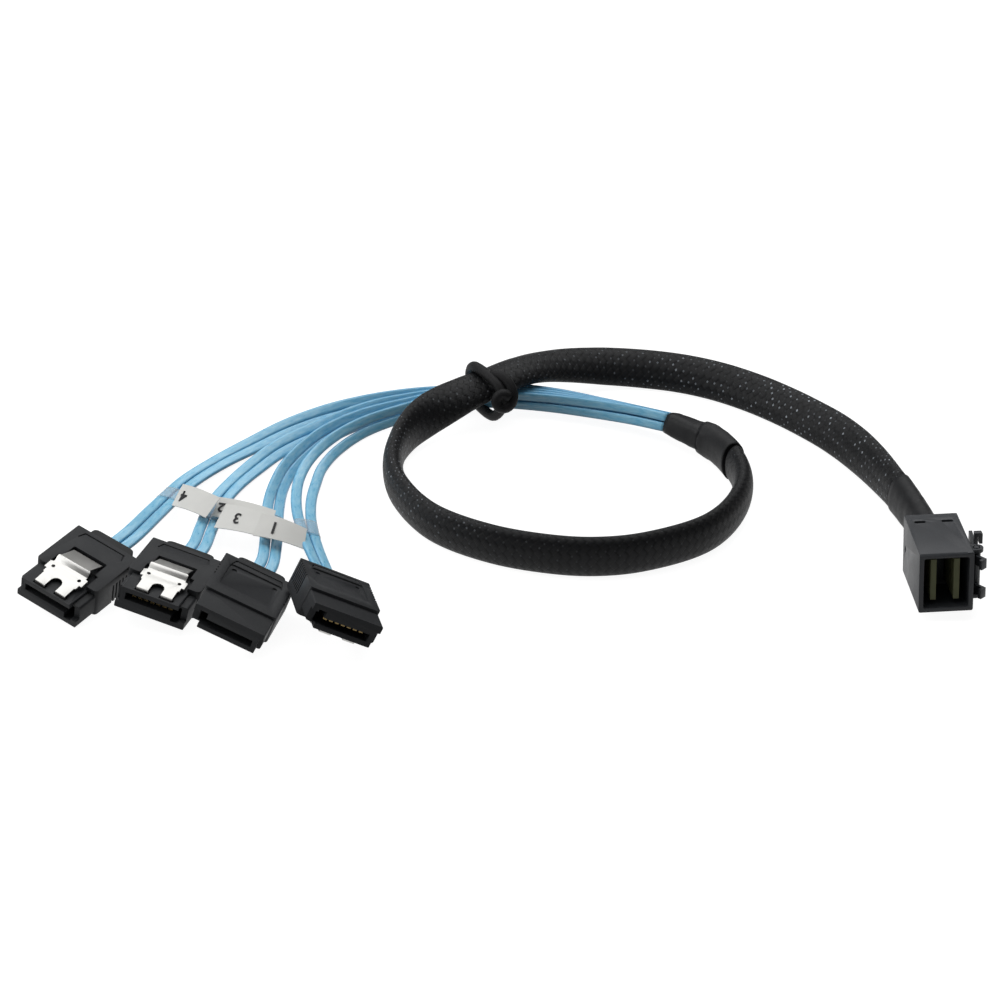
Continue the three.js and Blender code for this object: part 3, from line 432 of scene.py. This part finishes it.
def level_ramp(tree, factor, levels):
    """A value that runs through (position, level) pairs; the first is at 0 and the last at 1."""
    node = add(tree, "ShaderNodeValToRGB", {0: factor})
    elements = node.color_ramp.elements
    for position, _ in levels[1:-1]:
        elements.new(position)
    for element, (_, level) in zip(elements, levels):
        element.color = (level, level, level, 1)
    return node.outputs[0]


def new_material(name, **sockets):
    """A material with a Principled surface, its plain values set on the shader's own sockets."""
    material = bpy.data.materials.new(name)
    material.use_nodes = True
    shader = material.node_tree.nodes["Principled BSDF"]
    for socket, value in sockets.items():
        shader.inputs[socket.replace("_", " ")].default_value = value
    return material, material.node_tree, shader


def new_group(name, inputs, outputs):
    group = bpy.data.node_groups.new(name, "ShaderNodeTree")
    for kind, sockets in (("INPUT", inputs), ("OUTPUT", outputs)):
        for socket, (socket_type, default) in sockets.items():
            made = group.interface.new_socket(socket, in_out=kind, socket_type=socket_type)
            if default is not None:
                made.default_value = default
    return group, group.nodes.new("NodeGroupInput"), group.nodes.new("NodeGroupOutput")


FLOAT, COLOR = "NodeSocketFloat", "NodeSocketColor"

# %% [markdown]
# ## Moulded plastic
# The housings come out of a spark-eroded mould, so their faces have a fine, even grain, and edges
# that get handled turn a little smoother and lighter. All the plastics share one group for the grain
# and a faint random cloudiness; the handled edges are not made here.
# %% Grain shared by all the moulded pieces
MOTTLE_SCALE = 260.0  # patches of about 4 mm
GRAIN_DEPTH = 0.00004

grain, g_in, g_out = new_group(
    "moulded_grain",
    {
        "Base": (COLOR, (0.04, 0.04, 0.04, 1)),
        "Scale": (FLOAT, 5000.0),
        "Roughness": (FLOAT, 0.5),
        "Cloudiness": (FLOAT, 0.15),
    },
    {"Color": (COLOR, None), "Roughness": (FLOAT, None), "Height": (FLOAT, None)},
)
g_place = add(grain, "ShaderNodeTexCoord").outputs["Object"]
g_fine = noise(grain, g_place, g_in.outputs["Scale"], 3.0, 0.6)
g_mottle = calc(grain, "SUBTRACT", noise(grain, g_place, MOTTLE_SCALE, 4.0), 0.5)
g_cloud = calc(grain, "MULTIPLY", g_mottle, g_in.outputs["Cloudiness"])
g_light = calc(grain, "MULTIPLY_ADD", g_cloud, 2.0, 1.0)
g_color = add(grain, "ShaderNodeVectorMath", {0: g_in.outputs["Base"], 1: g_light}, operation="MULTIPLY")
grain.links.new(g_color.outputs[0], g_out.inputs["Color"])
g_grain = calc(grain, "SUBTRACT", g_fine, 0.5)
g_rough = calc(grain, "MULTIPLY_ADD", g_grain, 0.25, g_in.outputs["Roughness"])
grain.links.new(calc(grain, "MULTIPLY_ADD", g_mottle, 0.2, g_rough), g_out.inputs["Roughness"])
grain.links.new(g_fine, g_out.inputs["Height"])


def moulded(name, color, roughness, scale=5000.0, bump=0.25, cloudiness=0.15, sheen=0.22):
    material, tree, shader = new_material(name, Specular_IOR_Level=sheen)
    group = add(tree, "ShaderNodeGroup", node_tree=grain)
    group.inputs["Base"].default_value = (*color, 1)
    group.inputs["Scale"].default_value = scale
    group.inputs["Roughness"].default_value = roughness
    group.inputs["Cloudiness"].default_value = cloudiness
    tree.links.new(group.outputs["Color"], shader.inputs["Base Color"])
    tree.links.new(group.outputs["Roughness"], shader.inputs["Roughness"])
    set_bump(tree, shader, group.outputs["Height"], bump, GRAIN_DEPTH)
    return material


drive_plastic = moulded("drive_plastic", (0.022, 0.0235, 0.026), 0.5)
host_plastic = moulded("host_plastic", (0.034, 0.037, 0.042), 0.4, sheen=0.34)
relief_plastic = moulded("relief_plastic", (0.014, 0.015, 0.016), 0.5)
shrink_film = moulded("shrink_film", (0.013, 0.0135, 0.015), 0.5, 900.0, bump=0.5, cloudiness=0.3)
tie_rubber = moulded("tie_rubber", (0.008, 0.008, 0.009), 0.6, 2600.0, bump=0.5, cloudiness=0.3)
# Paddle-card film: the card's own yellow-green, darkened as painted shade where the cards sit deep in the
# host plug's mouth.
board_film_with_painted_shade = moulded("board_film_with_painted_shade", (0.22, 0.23, 0.125), 0.5, 3000.0, cloudiness=0.3)
print("moulded finishes made")

# %% [markdown]
# ## Spring steel and gold
# The latches are blanked from bright rolled strip: the rolling leaves hair-fine lines one way, so
# the reflection smears across them. The contacts are gold over nickel.
# %% Rolled metal
SMUDGE_SCALE = 500.0
LINE_STRETCH = 0.06


def rolled_metal(name, color, roughness, scale):
    material, tree, shader = new_material(name, Metallic=1.0)
    place = add(tree, "ShaderNodeTexCoord").outputs["Object"]
    stretch_scale = (scale, scale * LINE_STRETCH, scale)
    stretched = add(tree, "ShaderNodeMapping", {"Vector": place, "Scale": stretch_scale})
    lines = noise(tree, stretched.outputs[0], 1.0, 3.0)
    smudge = noise(tree, place, SMUDGE_SCALE, 2.0)
    rough = calc(tree, "MULTIPLY_ADD", lines, 0.12, roughness)
    tree.links.new(calc(tree, "MULTIPLY_ADD", smudge, 0.08, rough), shader.inputs["Roughness"])
    tint = blend_colors(tree, smudge, (*[c * 0.93 for c in color], 1), (*color, 1))
    tree.links.new(tint, shader.inputs["Base Color"])
    set_bump(tree, shader, lines, 0.15, 0.00002)
    return material


spring_steel = rolled_metal("spring_steel", (0.64, 0.635, 0.615), 0.3, 9000.0)
contact_gold = rolled_metal("contact_gold", (0.3, 0.22, 0.1), 0.35, 9000.0)

# %% [markdown]
# ## Braided sleeve
# The trunk is covered by an open braid of black filament: flat strands of four filaments wind both
# ways and pass over and under each other. Where they cross there is a small opening, and in some of
# the openings a painted glint of the foil inside is set, stronger along some stretches of the trunk.
# Each strand is also painted lighter on its crown and darker at its sides, as painted highlight and
# shade. Modelling every filament would take millions of faces, so the braid is worked out in the
# tube's UV map, where u runs once round and v is in millimetres.
# %% Braid
# Share of the trunk's length from the host plug, and how strong the painted foil glints are there
PAINTED_GLINT_SPREAD = [
    (0.0, 1.0),
    (0.2, 1.0),
    (0.3, 0.5),
    (0.4, 0.15),
    (0.5, 0.3),
    (0.56, 0.8),
    (0.64, 0.5),
    (0.7, 0.08),
    (0.86, 0.1),
    (1.0, 0.3),
]
STRANDS = 12.0
BRAID_PITCH = 1.8
# Strand colours: the crown of each strand is painted lighter and its sides darker, as painted highlight and
# shade; the foil colour is for painted glints.
SHADED_THREAD, LIT_THREAD = (0.0015, 0.0016, 0.0018, 1), (0.0085, 0.009, 0.0105, 1)
FOIL_GLINT = (0.55, 0.6, 0.66, 1)


def braid_material(name):
    material, tree, shader = new_material(name, Specular_IOR_Level=0.22)
    uv = add(tree, "ShaderNodeSeparateXYZ", {0: add(tree, "ShaderNodeTexCoord").outputs["UV"]})
    around = calc(tree, "MULTIPLY", uv.outputs[0], STRANDS)
    along = calc(tree, "DIVIDE", uv.outputs[1], BRAID_PITCH)
    left = calc(tree, "ADD", around, along)
    right = calc(tree, "SUBTRACT", around, along)

    def strand(coordinate):
        """Crown of the strand, its filaments, and which strand it is."""
        part = calc(tree, "FRACT", coordinate)
        crown = calc(tree, "SINE", calc(tree, "MULTIPLY", part, math.pi))
        lines = calc(tree, "ABSOLUTE", calc(tree, "SINE", calc(tree, "MULTIPLY", part, 4 * math.pi)))
        return crown, lines, calc(tree, "FLOOR", coordinate)

    crown_l, lines_l, index_l = strand(left)
    crown_r, lines_r, index_r = strand(right)
    turn = calc(tree, "PINGPONG", calc(tree, "ADD", index_l, index_r), 1.0)
    over = calc(tree, "GREATER_THAN", turn, 0.5)
    swap = calc(tree, "SUBTRACT", 1.0, over)

    def chosen(first, second):
        """What the upper strand says here."""
        kept, other = calc(tree, "MULTIPLY", first, over), calc(tree, "MULTIPLY", second, swap)
        return calc(tree, "ADD", kept, other)

    crown = chosen(crown_l, crown_r)
    filaments = calc(tree, "MULTIPLY", chosen(lines_l, lines_r), 0.3)
    height = calc(tree, "ADD", calc(tree, "POWER", crown, 0.5), filaments)
    opening = calc(tree, "GREATER_THAN", 0.45, calc(tree, "MAXIMUM", crown_l, crown_r))
    cell = add(tree, "ShaderNodeCombineXYZ", {0: calc(tree, "ROUND", left), 1: calc(tree, "ROUND", right)})
    chance = add(tree, "ShaderNodeTexWhiteNoise", {"Vector": cell.outputs[0]}).outputs[0]
    place = add(tree, "ShaderNodeTexCoord").outputs["Object"]
    # Painted glints: in some openings the colour turns to bright foil, more along some stretches; the
    # openings are real, their sparkle is painted light.
    patch = calc(tree, "MULTIPLY_ADD", noise(tree, place, 60.0, 2.0), 2.0, -0.3)
    share = calc(tree, "DIVIDE", uv.outputs[1], trunk_length / MM)
    gathered = calc(tree, "MULTIPLY", patch, level_ramp(tree, share, PAINTED_GLINT_SPREAD))
    shown = calc(tree, "MULTIPLY", calc(tree, "POWER", chance, 2.5), gathered)
    glint = calc(tree, "MULTIPLY", opening, shown)
    # Painted highlight and shade: the crown of each strand gets the lit colour, its sides the shaded one.
    thread = blend_colors(tree, crown, SHADED_THREAD, LIT_THREAD)
    tree.links.new(blend_colors(tree, glint, thread, FOIL_GLINT), shader.inputs["Base Color"])
    tree.links.new(calc(tree, "MULTIPLY_ADD", lines_l, 0.12, 0.4), shader.inputs["Roughness"])
    set_bump(tree, shader, height, 0.7, 0.00012)
    return material


braid = braid_material("braided_sleeve")
print("braid:", STRANDS, "strands each way,", BRAID_PITCH, "mm to a crossing")

# %% [markdown]
# ## Blue leads
# Each lead is a clear blue jacket over silver foil wrapped round two wires. Seen from above, the
# foil shows pale in the middle, with a fine cross-hatch from the wrap, and the colour turns a deeper
# blue towards the narrow edges. A clear coat gives the jacket its gloss.
# %% Lead jacket
DEEP_BLUE, PALE_BLUE = (0.035, 0.26, 0.5, 1), (0.23, 0.6, 0.86, 1)
FOIL_BLUE, HATCH_BLUE = (0.5, 0.83, 0.97, 1), (0.08, 0.3, 0.5, 1)
HATCH = 11.0  # turns of the wave in radians along each millimetre


def lead_material(name):
    material, tree, shader = new_material(name, Coat_Roughness=0.08, Coat_Weight=0.3)
    uv = add(tree, "ShaderNodeSeparateXYZ", {0: add(tree, "ShaderNodeTexCoord").outputs["UV"]})
    turn = calc(tree, "MULTIPLY", uv.outputs[0], math.tau)
    flat = calc(tree, "ABSOLUTE", calc(tree, "SINE", turn))
    middle = calc(tree, "POWER", flat, 0.8)
    wires = calc(tree, "ABSOLUTE", calc(tree, "SINE", calc(tree, "MULTIPLY", turn, 2.0)))
    twist = calc(tree, "MULTIPLY", turn, 3.0)
    hatch_a, hatch_b = (
        calc(tree, "SINE", calc(tree, "MULTIPLY_ADD", uv.outputs[1], wave, twist)) for wave in (HATCH, -HATCH)
    )
    hatch = calc(tree, "MULTIPLY", hatch_a, hatch_b)
    streak_u = calc(tree, "MULTIPLY", uv.outputs[0], 9.0)
    streak_v = calc(tree, "MULTIPLY", uv.outputs[1], 0.25)
    streak_place = add(tree, "ShaderNodeCombineXYZ", {0: streak_u, 1: streak_v})
    streaks = noise(tree, streak_place.outputs[0], 1.6, 3.0)
    jacket = blend_colors(tree, middle, DEEP_BLUE, PALE_BLUE)
    foil_mask = calc(tree, "MULTIPLY", calc(tree, "SUBTRACT", streaks, 0.38), 1.6)
    foil = blend_colors(tree, calc(tree, "MULTIPLY", foil_mask, flat), jacket, FOIL_BLUE)
    fine = calc(tree, "MULTIPLY_ADD", hatch, 0.08, 0.08)
    hatched = blend_colors(tree, calc(tree, "MULTIPLY", fine, flat), foil, HATCH_BLUE)
    tree.links.new(hatched, shader.inputs["Base Color"])
    tree.links.new(calc(tree, "MULTIPLY_ADD", streaks, 0.2, 0.2), shader.inputs["Roughness"])
    height = calc(tree, "ADD", calc(tree, "MULTIPLY", wires, 0.5), calc(tree, "MULTIPLY", hatch, 0.1))
    set_bump(tree, shader, height, 0.35, 0.0001)
    return material


lead_jacket = lead_material("lead_jacket")

# %% [markdown]
# ## Label film
# The labels are white film with a faint tooth, printed black.
# %% Label film and print
label_film = moulded("label_film", (0.66, 0.66, 0.635), 0.55, 1500.0, bump=0.1, cloudiness=0.06)
label_ink = moulded("label_ink", (0.02, 0.02, 0.022), 0.5, 1500.0, bump=0.1)

# %% [markdown]
# ## Finishing a piece
# Every new piece gets its material, says which body it rides on, and hides the solid it stands
# for.
# %% Riding
def finish(piece, material, replaces=(), body="cable"):
    piece.data.materials.clear()
    piece.data.materials.append(material)
    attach(piece, body)
    if replaces:
        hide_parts(*replaces)
    return piece


# %% [markdown]
# ## Sleeve, heat-shrink and leads
# The sleeve runs the whole way and goes in under the heat-shrink at both ends, a little slimmer
# there. The heat-shrink follows what is inside it: it is wavy, and its mouths draw in.
# %% Trunk pieces
SLEEVE_SIZE = (8.9, 4.3)  # high and wide, where the sleeve is open
SLEEVE_COVERED = (7.0, 3.8)  # under the heat-shrink
SLEEVE_END = (4.2, 4.0)
HOST_SHRINK_LENGTH = 22.0
OUTER_SHRINK_LENGTH = 13.0
INNER_SHRINK_LENGTH = 9.0
MOUTH_LENGTH = 0.8  # over which a mouth of the heat-shrink draws in
TRUNK_SIDES = 40
inner_start = trunk_length / MM - INNER_SHRINK_LENGTH
outer_start = inner_start - OUTER_SHRINK_LENGTH


def sleeve_outline(s):
    s = s / MM
    if s > inner_start - 1:
        return oval(*SLEEVE_END, TRUNK_SIDES)
    covered = s < HOST_SHRINK_LENGTH or s > outer_start
    return oval(*(SLEEVE_COVERED if covered else SLEEVE_SIZE), TRUNK_SIDES)


sleeve = finish(tube("sleeve", trunk, sleeve_outline), braid, ["trunk_sleeve"])


def shrink(name, start, end, first, last, draw=0.3, square=2.2):
    """Heat-shrink from start to end in millimetres, with its (high, wide) size at each."""

    def outline(s):
        s = s / MM
        share = (s - start) / (end - start)
        high, wide = (a + (b - a) * share for a, b in zip(first, last))
        edge = min(s - start, end - s)
        waist = draw * max(0.0, 1 - edge / MOUTH_LENGTH) ** 2
        wave = 0.12 * math.sin(s * 1.7 + start) + 0.08 * math.sin(s * 4.1 + end)
        return oval(high - waist + wave, wide - waist - wave * 0.6, TRUNK_SIDES, square)

    return tube(name, stretch(trunk, start * MM - 1e-9, end * MM + 1e-9), outline)


host_shrink = finish(
    shrink("host_heat_shrink", 0, HOST_SHRINK_LENGTH, (8.0, 5.4), (9.2, 4.9)),
    shrink_film,
    ["host_shrink"],
)
outer_shrink = finish(
    shrink("outer_heat_shrink", outer_start, inner_start, (9.1, 4.9), (7.6, 5.6)),
    shrink_film,
    ["breakout_shrink_outer"],
)
inner_shrink = finish(
    shrink("inner_heat_shrink", inner_start - 2, trunk_length / MM, (5.6, 5.4), (5.0, 5.8), 0.1, 3.5),
    shrink_film,
    ["breakout_shrink_inner"],
)


# %% Leads
LEAD_SPREAD = 0.3  # where a pair leaves the bundle its leads relax and lie a little wider
BUNDLE_END = 60.0
RELAX_LENGTH = 20.0


def lead_outline(s):
    """A flat oval, drawn in a little between its two wires."""
    relaxed = min(1.0, max(0.0, (s / MM - BUNDLE_END) / RELAX_LENGTH))
    width = LEAD_WIDTH + LEAD_SPREAD * relaxed
    points = []
    for a, b in oval(width, LEAD_THICKNESS, 20, 2.6):
        waist = 1 - 0.1 * math.cos(min(1, abs(a) / (width * MM / 2)) * math.pi / 2) ** 2
        points.append((a, b * waist))
    return points


for name, line in leads.items():
    finish(tube("blue_" + name, line, lead_outline), lead_jacket, [name])

# %% [markdown]
# ## Tie
# A soft black cord holds the loop: it goes round the trunk and the leads, and is knotted on the near
# side. It is swept like the leads, with a round section, and pulled tight on what it holds.
# %% Tie
TIE_MIDDLE = Vector((-1.4, 36.6, 0)) * MM + SHIFT
TIE_TURN = Matrix.Rotation(math.radians(20), 3, "Z")
TIE_STEP = 0.6


def tie_points(points):
    """Points given across the tie, up, and along the trunk, in millimetres."""
    placed = (Vector((along, across, up)) * MM for across, up, along in points)
    return [TIE_MIDDLE + TIE_TURN @ point for point in placed]


def cord_tube(name, points, thickness):
    rows = [(*point, 0) for point in tie_points(points)]
    return tube(name, route(rows, TIE_STEP * MM), lambda s: oval(thickness, thickness, 14))


tie_ring = [
    (-8.0, 7.2, -0.6),
    (-6.9, 4.8, -0.9),
    (-4.4, 2.2, -1.6),
    (0.6, 1.5, -2.4),
    (5.2, 1.9, -2.8),
    (6.4, 4.6, -3.0),
    (5.4, 8.6, -3.4),
    (2.4, 11.3, -3.6),
    (-1.2, 11.9, -3.0),
    (-4.6, 11.7, -2.2),
    (-7.2, 10.8, -1.4),
    (-8.8, 9.2, -1.0),
    (-9.2, 7.4, -0.8),
]
tie_knot = [
    (-3.6, 12.2, -1.6),
    (-5.6, 12.2, -0.2),
    (-7.6, 11.2, 0.8),
    (-9.2, 9.4, 1.1),
    (-9.8, 7.6, 0.4),
    (-9.7, 6.8, -1.0),
    (-9.2, 7.4, -2.4),
    (-8.8, 9.0, -2.3),
    (-9.2, 10.0, -1.0),
    (-9.8, 9.2, 0.2),
]
tie_parts = [
    cord_tube("tie_band", tie_ring, 2.3),
    cord_tube("tie_knot", tie_knot, 2.4),
]
finish(tie_parts[0], tie_rubber, ["trunk_tie"])
finish(tie_parts[1], tie_rubber)

# %% [markdown]
# ## Rigid pieces
# The solids of the plugs have the right shape, but moulded edges are never knife sharp. Each one is
# copied, its loose triangles are merged and its flat faces made whole, and its edges are bevelled.
# Edges that turn by more than 35 degrees stay sharp in the shading, so only bends look rounded.
# %% Softened copies of the rigid solids
WELD = 0.002
SHARP_TURN = 40  # an edge that turns by more degrees than this is bevelled


def local_copy(node, matrix):
    """The solid in its plug's own axes, in millimetres, with its flat faces whole."""
    bm = bmesh.new()
    bm.from_mesh(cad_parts[node].data)
    bmesh.ops.transform(bm, matrix=Matrix.Scale(1 / MM, 4) @ matrix.inverted(), verts=bm.verts)
    bmesh.ops.remove_doubles(bm, verts=bm.verts, dist=WELD)
    bmesh.ops.dissolve_limit(bm, angle_limit=math.radians(1), verts=bm.verts, edges=bm.edges)
    return bm


def soften(bm, offset):
    edges = [
        edge
        for edge in bm.edges
        if len(edge.link_faces) == 2
        and edge.calc_face_angle(0) > math.radians(SHARP_TURN)
        and edge.calc_length() > 2.2 * offset
    ]
    bmesh.ops.bevel(
        bm,
        geom=edges,
        offset=offset,
        offset_type="OFFSET",
        affect="EDGES",
        segments=2,
        profile=0.5,
        material=-1,
        clamp_overlap=True,
        harden_normals=False,
    )
    return len(edges)


def smooth_by_angle(piece, degrees=35):
    mesh = piece.data
    mesh.polygons.foreach_set("use_smooth", [True] * len(mesh.polygons))
    bm = bmesh.new()
    bm.from_mesh(mesh)
    for edge in bm.edges:
        edge.smooth = len(edge.link_faces) != 2 or edge.calc_face_angle(0) <= math.radians(degrees)
    bm.to_mesh(mesh)
    bm.free()


def rigid_piece(name, node, matrix, offset, material, body="cable"):
    bm = local_copy(node, matrix)
    count = soften(bm, offset)
    bmesh.ops.transform(bm, matrix=matrix @ Matrix.Scale(MM, 4), verts=bm.verts)
    piece = finish(finished(name, bm), material, [node], body)
    smooth_by_angle(piece)
    return piece, count


# %% [markdown]
# ## Light and floor
# The photograph is cut out on pure white. The floor and the world are white to the camera, and the
# floor is bright to reflections too, while the light that reaches the object is plain: a broad lamp
# above and behind, a weaker one from the left, and a dim sky. The floor keeps a faint shadow.
# %% Light
def area_lamp(name, at, aim, size, power):
    data = bpy.data.lights.new(name, "AREA")
    data.shape = "SQUARE"
    data.size = size
    data.energy = power
    lamp = bpy.data.objects.new(name, data)
    lamp.location = at
    lamp.rotation_euler = (Vector(aim) - Vector(at)).to_track_quat("-Z", "Y").to_euler()
    bpy.context.scene.collection.objects.link(lamp)


area_lamp("lamp_above", (-0.1, 0.6, 1.2), (0, 0.03, 0), 2.0, 22.0)
area_lamp("lamp_left", (-0.9, 0.05, 0.45), (0, 0.02, 0), 0.6, 3.8)

SKY_LIGHT = 0.1


def direct_view(tree):
    """The light paths, and 1 for rays straight from the camera or through something clear."""
    rays = add(tree, "ShaderNodeLightPath").outputs
    return rays, calc(tree, "MAXIMUM", rays["Is Camera Ray"], rays["Is Transmission Ray"])


world = bpy.data.worlds.new("studio")
world.use_nodes = True
bpy.context.scene.world = world
sky = world.node_tree
strength = calc(sky, "MULTIPLY_ADD", direct_view(sky)[1], 1 - SKY_LIGHT, SKY_LIGHT)
sky.links.new(strength, sky.nodes["Background"].inputs["Strength"])
sky.nodes["Background"].inputs["Color"].default_value = (1, 1, 1, 1)


# %% Floor
FLOOR_WHITE, FLOOR_SHADE = 0.93, 0.26  # as the camera sees it: its own white, and what shows a shadow
FLOOR_PLAIN, FLOOR_GLEAM = 0.22, 0.9  # as the light meets it, and as reflections see it
FLOOR_SIZE = 4.0


def floor_material():
    material = bpy.data.materials.new("pale_floor")
    material.use_nodes = True
    tree = material.node_tree
    tree.nodes.clear()
    rays, seen = direct_view(tree)
    white, gleam = (
        add(tree, "ShaderNodeEmission", {"Color": (1, 1, 1, 1), "Strength": strength})
        for strength in (FLOOR_WHITE, FLOOR_GLEAM)
    )
    shade, plain = (
        add(tree, "ShaderNodeBsdfDiffuse", {"Color": (grey, grey, grey, 1)})
        for grey in (FLOOR_SHADE, FLOOR_PLAIN)
    )
    lit = add(tree, "ShaderNodeAddShader", {0: white.outputs[0], 1: shade.outputs[0]})
    glossy = rays["Is Glossy Ray"]
    low = add(tree, "ShaderNodeMixShader", {0: glossy, 1: plain.outputs[0], 2: gleam.outputs[0]})
    mix = add(tree, "ShaderNodeMixShader", {0: seen, 1: low.outputs[0], 2: lit.outputs[0]})
    out = add(tree, "ShaderNodeOutputMaterial")
    tree.links.new(mix.outputs[0], out.inputs[0])
    return material


bm = bmesh.new()
bmesh.ops.create_grid(bm, x_segments=1, y_segments=1, size=FLOOR_SIZE)
floor = finished("floor", bm)
floor.data.materials.append(floor_material())

# %% [markdown]
# ## Plugs
# The pieces of the five plugs, each with its finish.
# %% Drive plugs
HOUSING_EDGE, BOOT_EDGE, SPRING_EDGE, LEVER_EDGE = 0.09, 0.3, 0.05, 0.12

drive_shells = {}
for plug, matrix in drive_frames.items():
    drive_shells[plug], edges = rigid_piece(
        f"drive_shell_{plug}", f"drive_housing_{plug}", matrix, HOUSING_EDGE, drive_plastic
    )
    rigid_piece(
        f"drive_boot_{plug}", f"drive_relief_{plug}", matrix, BOOT_EDGE, relief_plastic
    )
    spring_body = f"spring_{plug}"
    rigid_piece(
        f"drive_spring_{plug}", f"drive_latch_{plug}", matrix, SPRING_EDGE, spring_steel, spring_body
    )
    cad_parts[f"drive_contacts_{plug}"].material_slots[0].material = contact_gold
    print(f"drive plug {plug}: {edges} housing edges softened")

# %% Host plug
_, edges = rigid_piece("host_housing", "host_shell", host_frame, HOUSING_EDGE, host_plastic)
rigid_piece("host_lever_arm", "host_latch", host_frame, LEVER_EDGE, host_plastic, "host_lever")
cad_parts["host_rear_insert"].material_slots[0].material = relief_plastic
# The paddle cards take the film with painted shade for the dark mouth.
for side in ("left", "right"):
    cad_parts[f"host_card_{side}"].material_slots[0].material = board_film_with_painted_shade
print("host plug edges softened:", edges)

# %% [markdown]
# ## Labels
# A label is a strip of white film with a clear end. The clear end wraps the two leads of a plug and
# the white end stands out as a flag that carries the plug's number. The flag is a grid laid between
# four corners, bowed a little and given its thickness. The number is text made into a mesh, and then
# laid on the same four corners, so it follows the bow.
# %% Clear film
clear_film, clear_tree, clear_shader = new_material("clear_film", Roughness=0.22, Alpha=0.34)
clear_place = add(clear_tree, "ShaderNodeTexCoord").outputs["Object"]
clear_crease = noise(clear_tree, clear_place, 420.0, 3.0)
clear_color = blend_colors(clear_tree, clear_crease, (0.55, 0.57, 0.58, 1), (0.85, 0.87, 0.88, 1))
clear_tree.links.new(clear_color, clear_shader.inputs["Base Color"])
set_bump(clear_tree, clear_shader, clear_crease, 0.5, 0.0002)

# %% Flags and numbers
# Corners: far and near corner at the leads, far and near corner at the free end
FLAGS = {
    4: [(-65.5, -2.2, 5.2), (-67.4, -7.7, 3.4), (-57.0, -10.7, 7.0), (-59.6, -15.5, 5.2)],
    3: [(-55.8, -11.4, 6.0), (-57.8, -17.7, 4.2), (-45.1, -18.6, 7.4), (-45.7, -25.2, 6.0)],
    2: [(-45.5, -13.4, 5.6), (-46.3, -19.6, 4.4), (-57.6, -7.4, 5.2), (-58.6, -12.9, 4.0)],
    1: [(-38.6, -22.9, 7.0), (-38.9, -28.2, 5.6), (-47.7, -20.0, 9.0), (-49.1, -26.5, 7.8)],
}
NUMBER_PLACES = {4: 0.2, 3: 0.34, 2: 0.89, 1: 0.66}  # share of the way from the leads to the end
FLAG_THICKNESS = 0.12
FLAG_BOW = 0.5
NUMBER_HEIGHT = 3.1
NUMBER_LIFT = 0.1
FONT_SIZE = 1.3  # a digit is this much lower than the size of its font
LABEL_ROW = 14  # the row of a pair that the label wraps
WRAP_LENGTH = 6.4


def flag_point(plug, u, v, lift=0.0):
    """u from the leads to the free end, v from the near edge to the far one, lift off the sheet."""
    far_0, near_0, far_1, near_1 = (Vector(corner) for corner in FLAGS[plug])
    near, far = near_0.lerp(near_1, u), far_0.lerp(far_1, u)
    normal = (near_1 - near_0).cross(far_0 - near_0).normalized()
    if normal.z < 0:
        normal.negate()
    return (near.lerp(far, v) + normal * (FLAG_BOW * math.sin(math.pi * u) + lift)) * MM + SHIFT


def flag_sheet(plug):
    bm = bmesh.new()
    bmesh.ops.create_grid(bm, x_segments=16, y_segments=6, size=0.5)
    for vert in bm.verts:
        vert.co = flag_point(plug, vert.co.x + 0.5, vert.co.y + 0.5)
    bmesh.ops.solidify(bm, geom=bm.faces[:], thickness=FLAG_THICKNESS * MM)
    bmesh.ops.recalc_face_normals(bm, faces=bm.faces)
    return finished(f"flag_{plug}", bm)


def number_mesh(plug):
    text = bpy.data.curves.new(f"number_{plug}", "FONT")
    text.body = str(plug)
    text.size = 1.0
    text.extrude = 0.01
    text.offset = 0.018
    text.align_x, text.align_y = "CENTER", "CENTER"
    text.resolution_u = 6
    holder = bpy.data.objects.new(f"number_{plug}", text)
    bpy.context.scene.collection.objects.link(holder)
    flat = bpy.data.meshes.new_from_object(holder)
    bpy.data.objects.remove(holder)
    far_0, near_0, _, near_1 = (Vector(corner) for corner in FLAGS[plug])
    long_size, wide_size = (near_1 - near_0).length, (far_0 - near_0).length
    rightward = 1 if near_1.x > near_0.x else -1
    bm = bmesh.new()
    bm.from_mesh(flat)
    bmesh.ops.remove_doubles(bm, verts=bm.verts, dist=1e-5)
    for vert in bm.verts:
        x, y, z = vert.co
        u = NUMBER_PLACES[plug] - rightward * x * NUMBER_HEIGHT * FONT_SIZE / long_size
        v = 0.5 - y * NUMBER_HEIGHT * FONT_SIZE / wide_size
        vert.co = flag_point(plug, u, v, NUMBER_LIFT + 3 * z)
    bmesh.ops.recalc_face_normals(bm, faces=bm.faces)
    return finished(f"number_{plug}", bm)


for plug, rows in pairs.items():
    middle_line = route([(*row["middle"], row["lean"]) for row in rows], LEAD_STEP * MM)
    row = rows[LABEL_ROW]
    at = min(middle_line, key=lambda station: (station[0] - row["middle"]).length)[3]
    span = stretch(middle_line, at - WRAP_LENGTH / 2 * MM, at + WRAP_LENGTH / 2 * MM)
    film = oval(row["spacing"] + LEAD_WIDTH + 0.5, LEAD_THICKNESS + 0.6, 28, 2.6)
    wrap = finish(tube(f"label_wrap_{plug}", span, lambda s: film), clear_film)
    flag = finish(flag_sheet(plug), label_film, [f"label_{plug}"])
    number = finish(number_mesh(plug), label_ink)
    smooth_by_angle(flag)

for name, line in leads.items():
    plug = name[5]
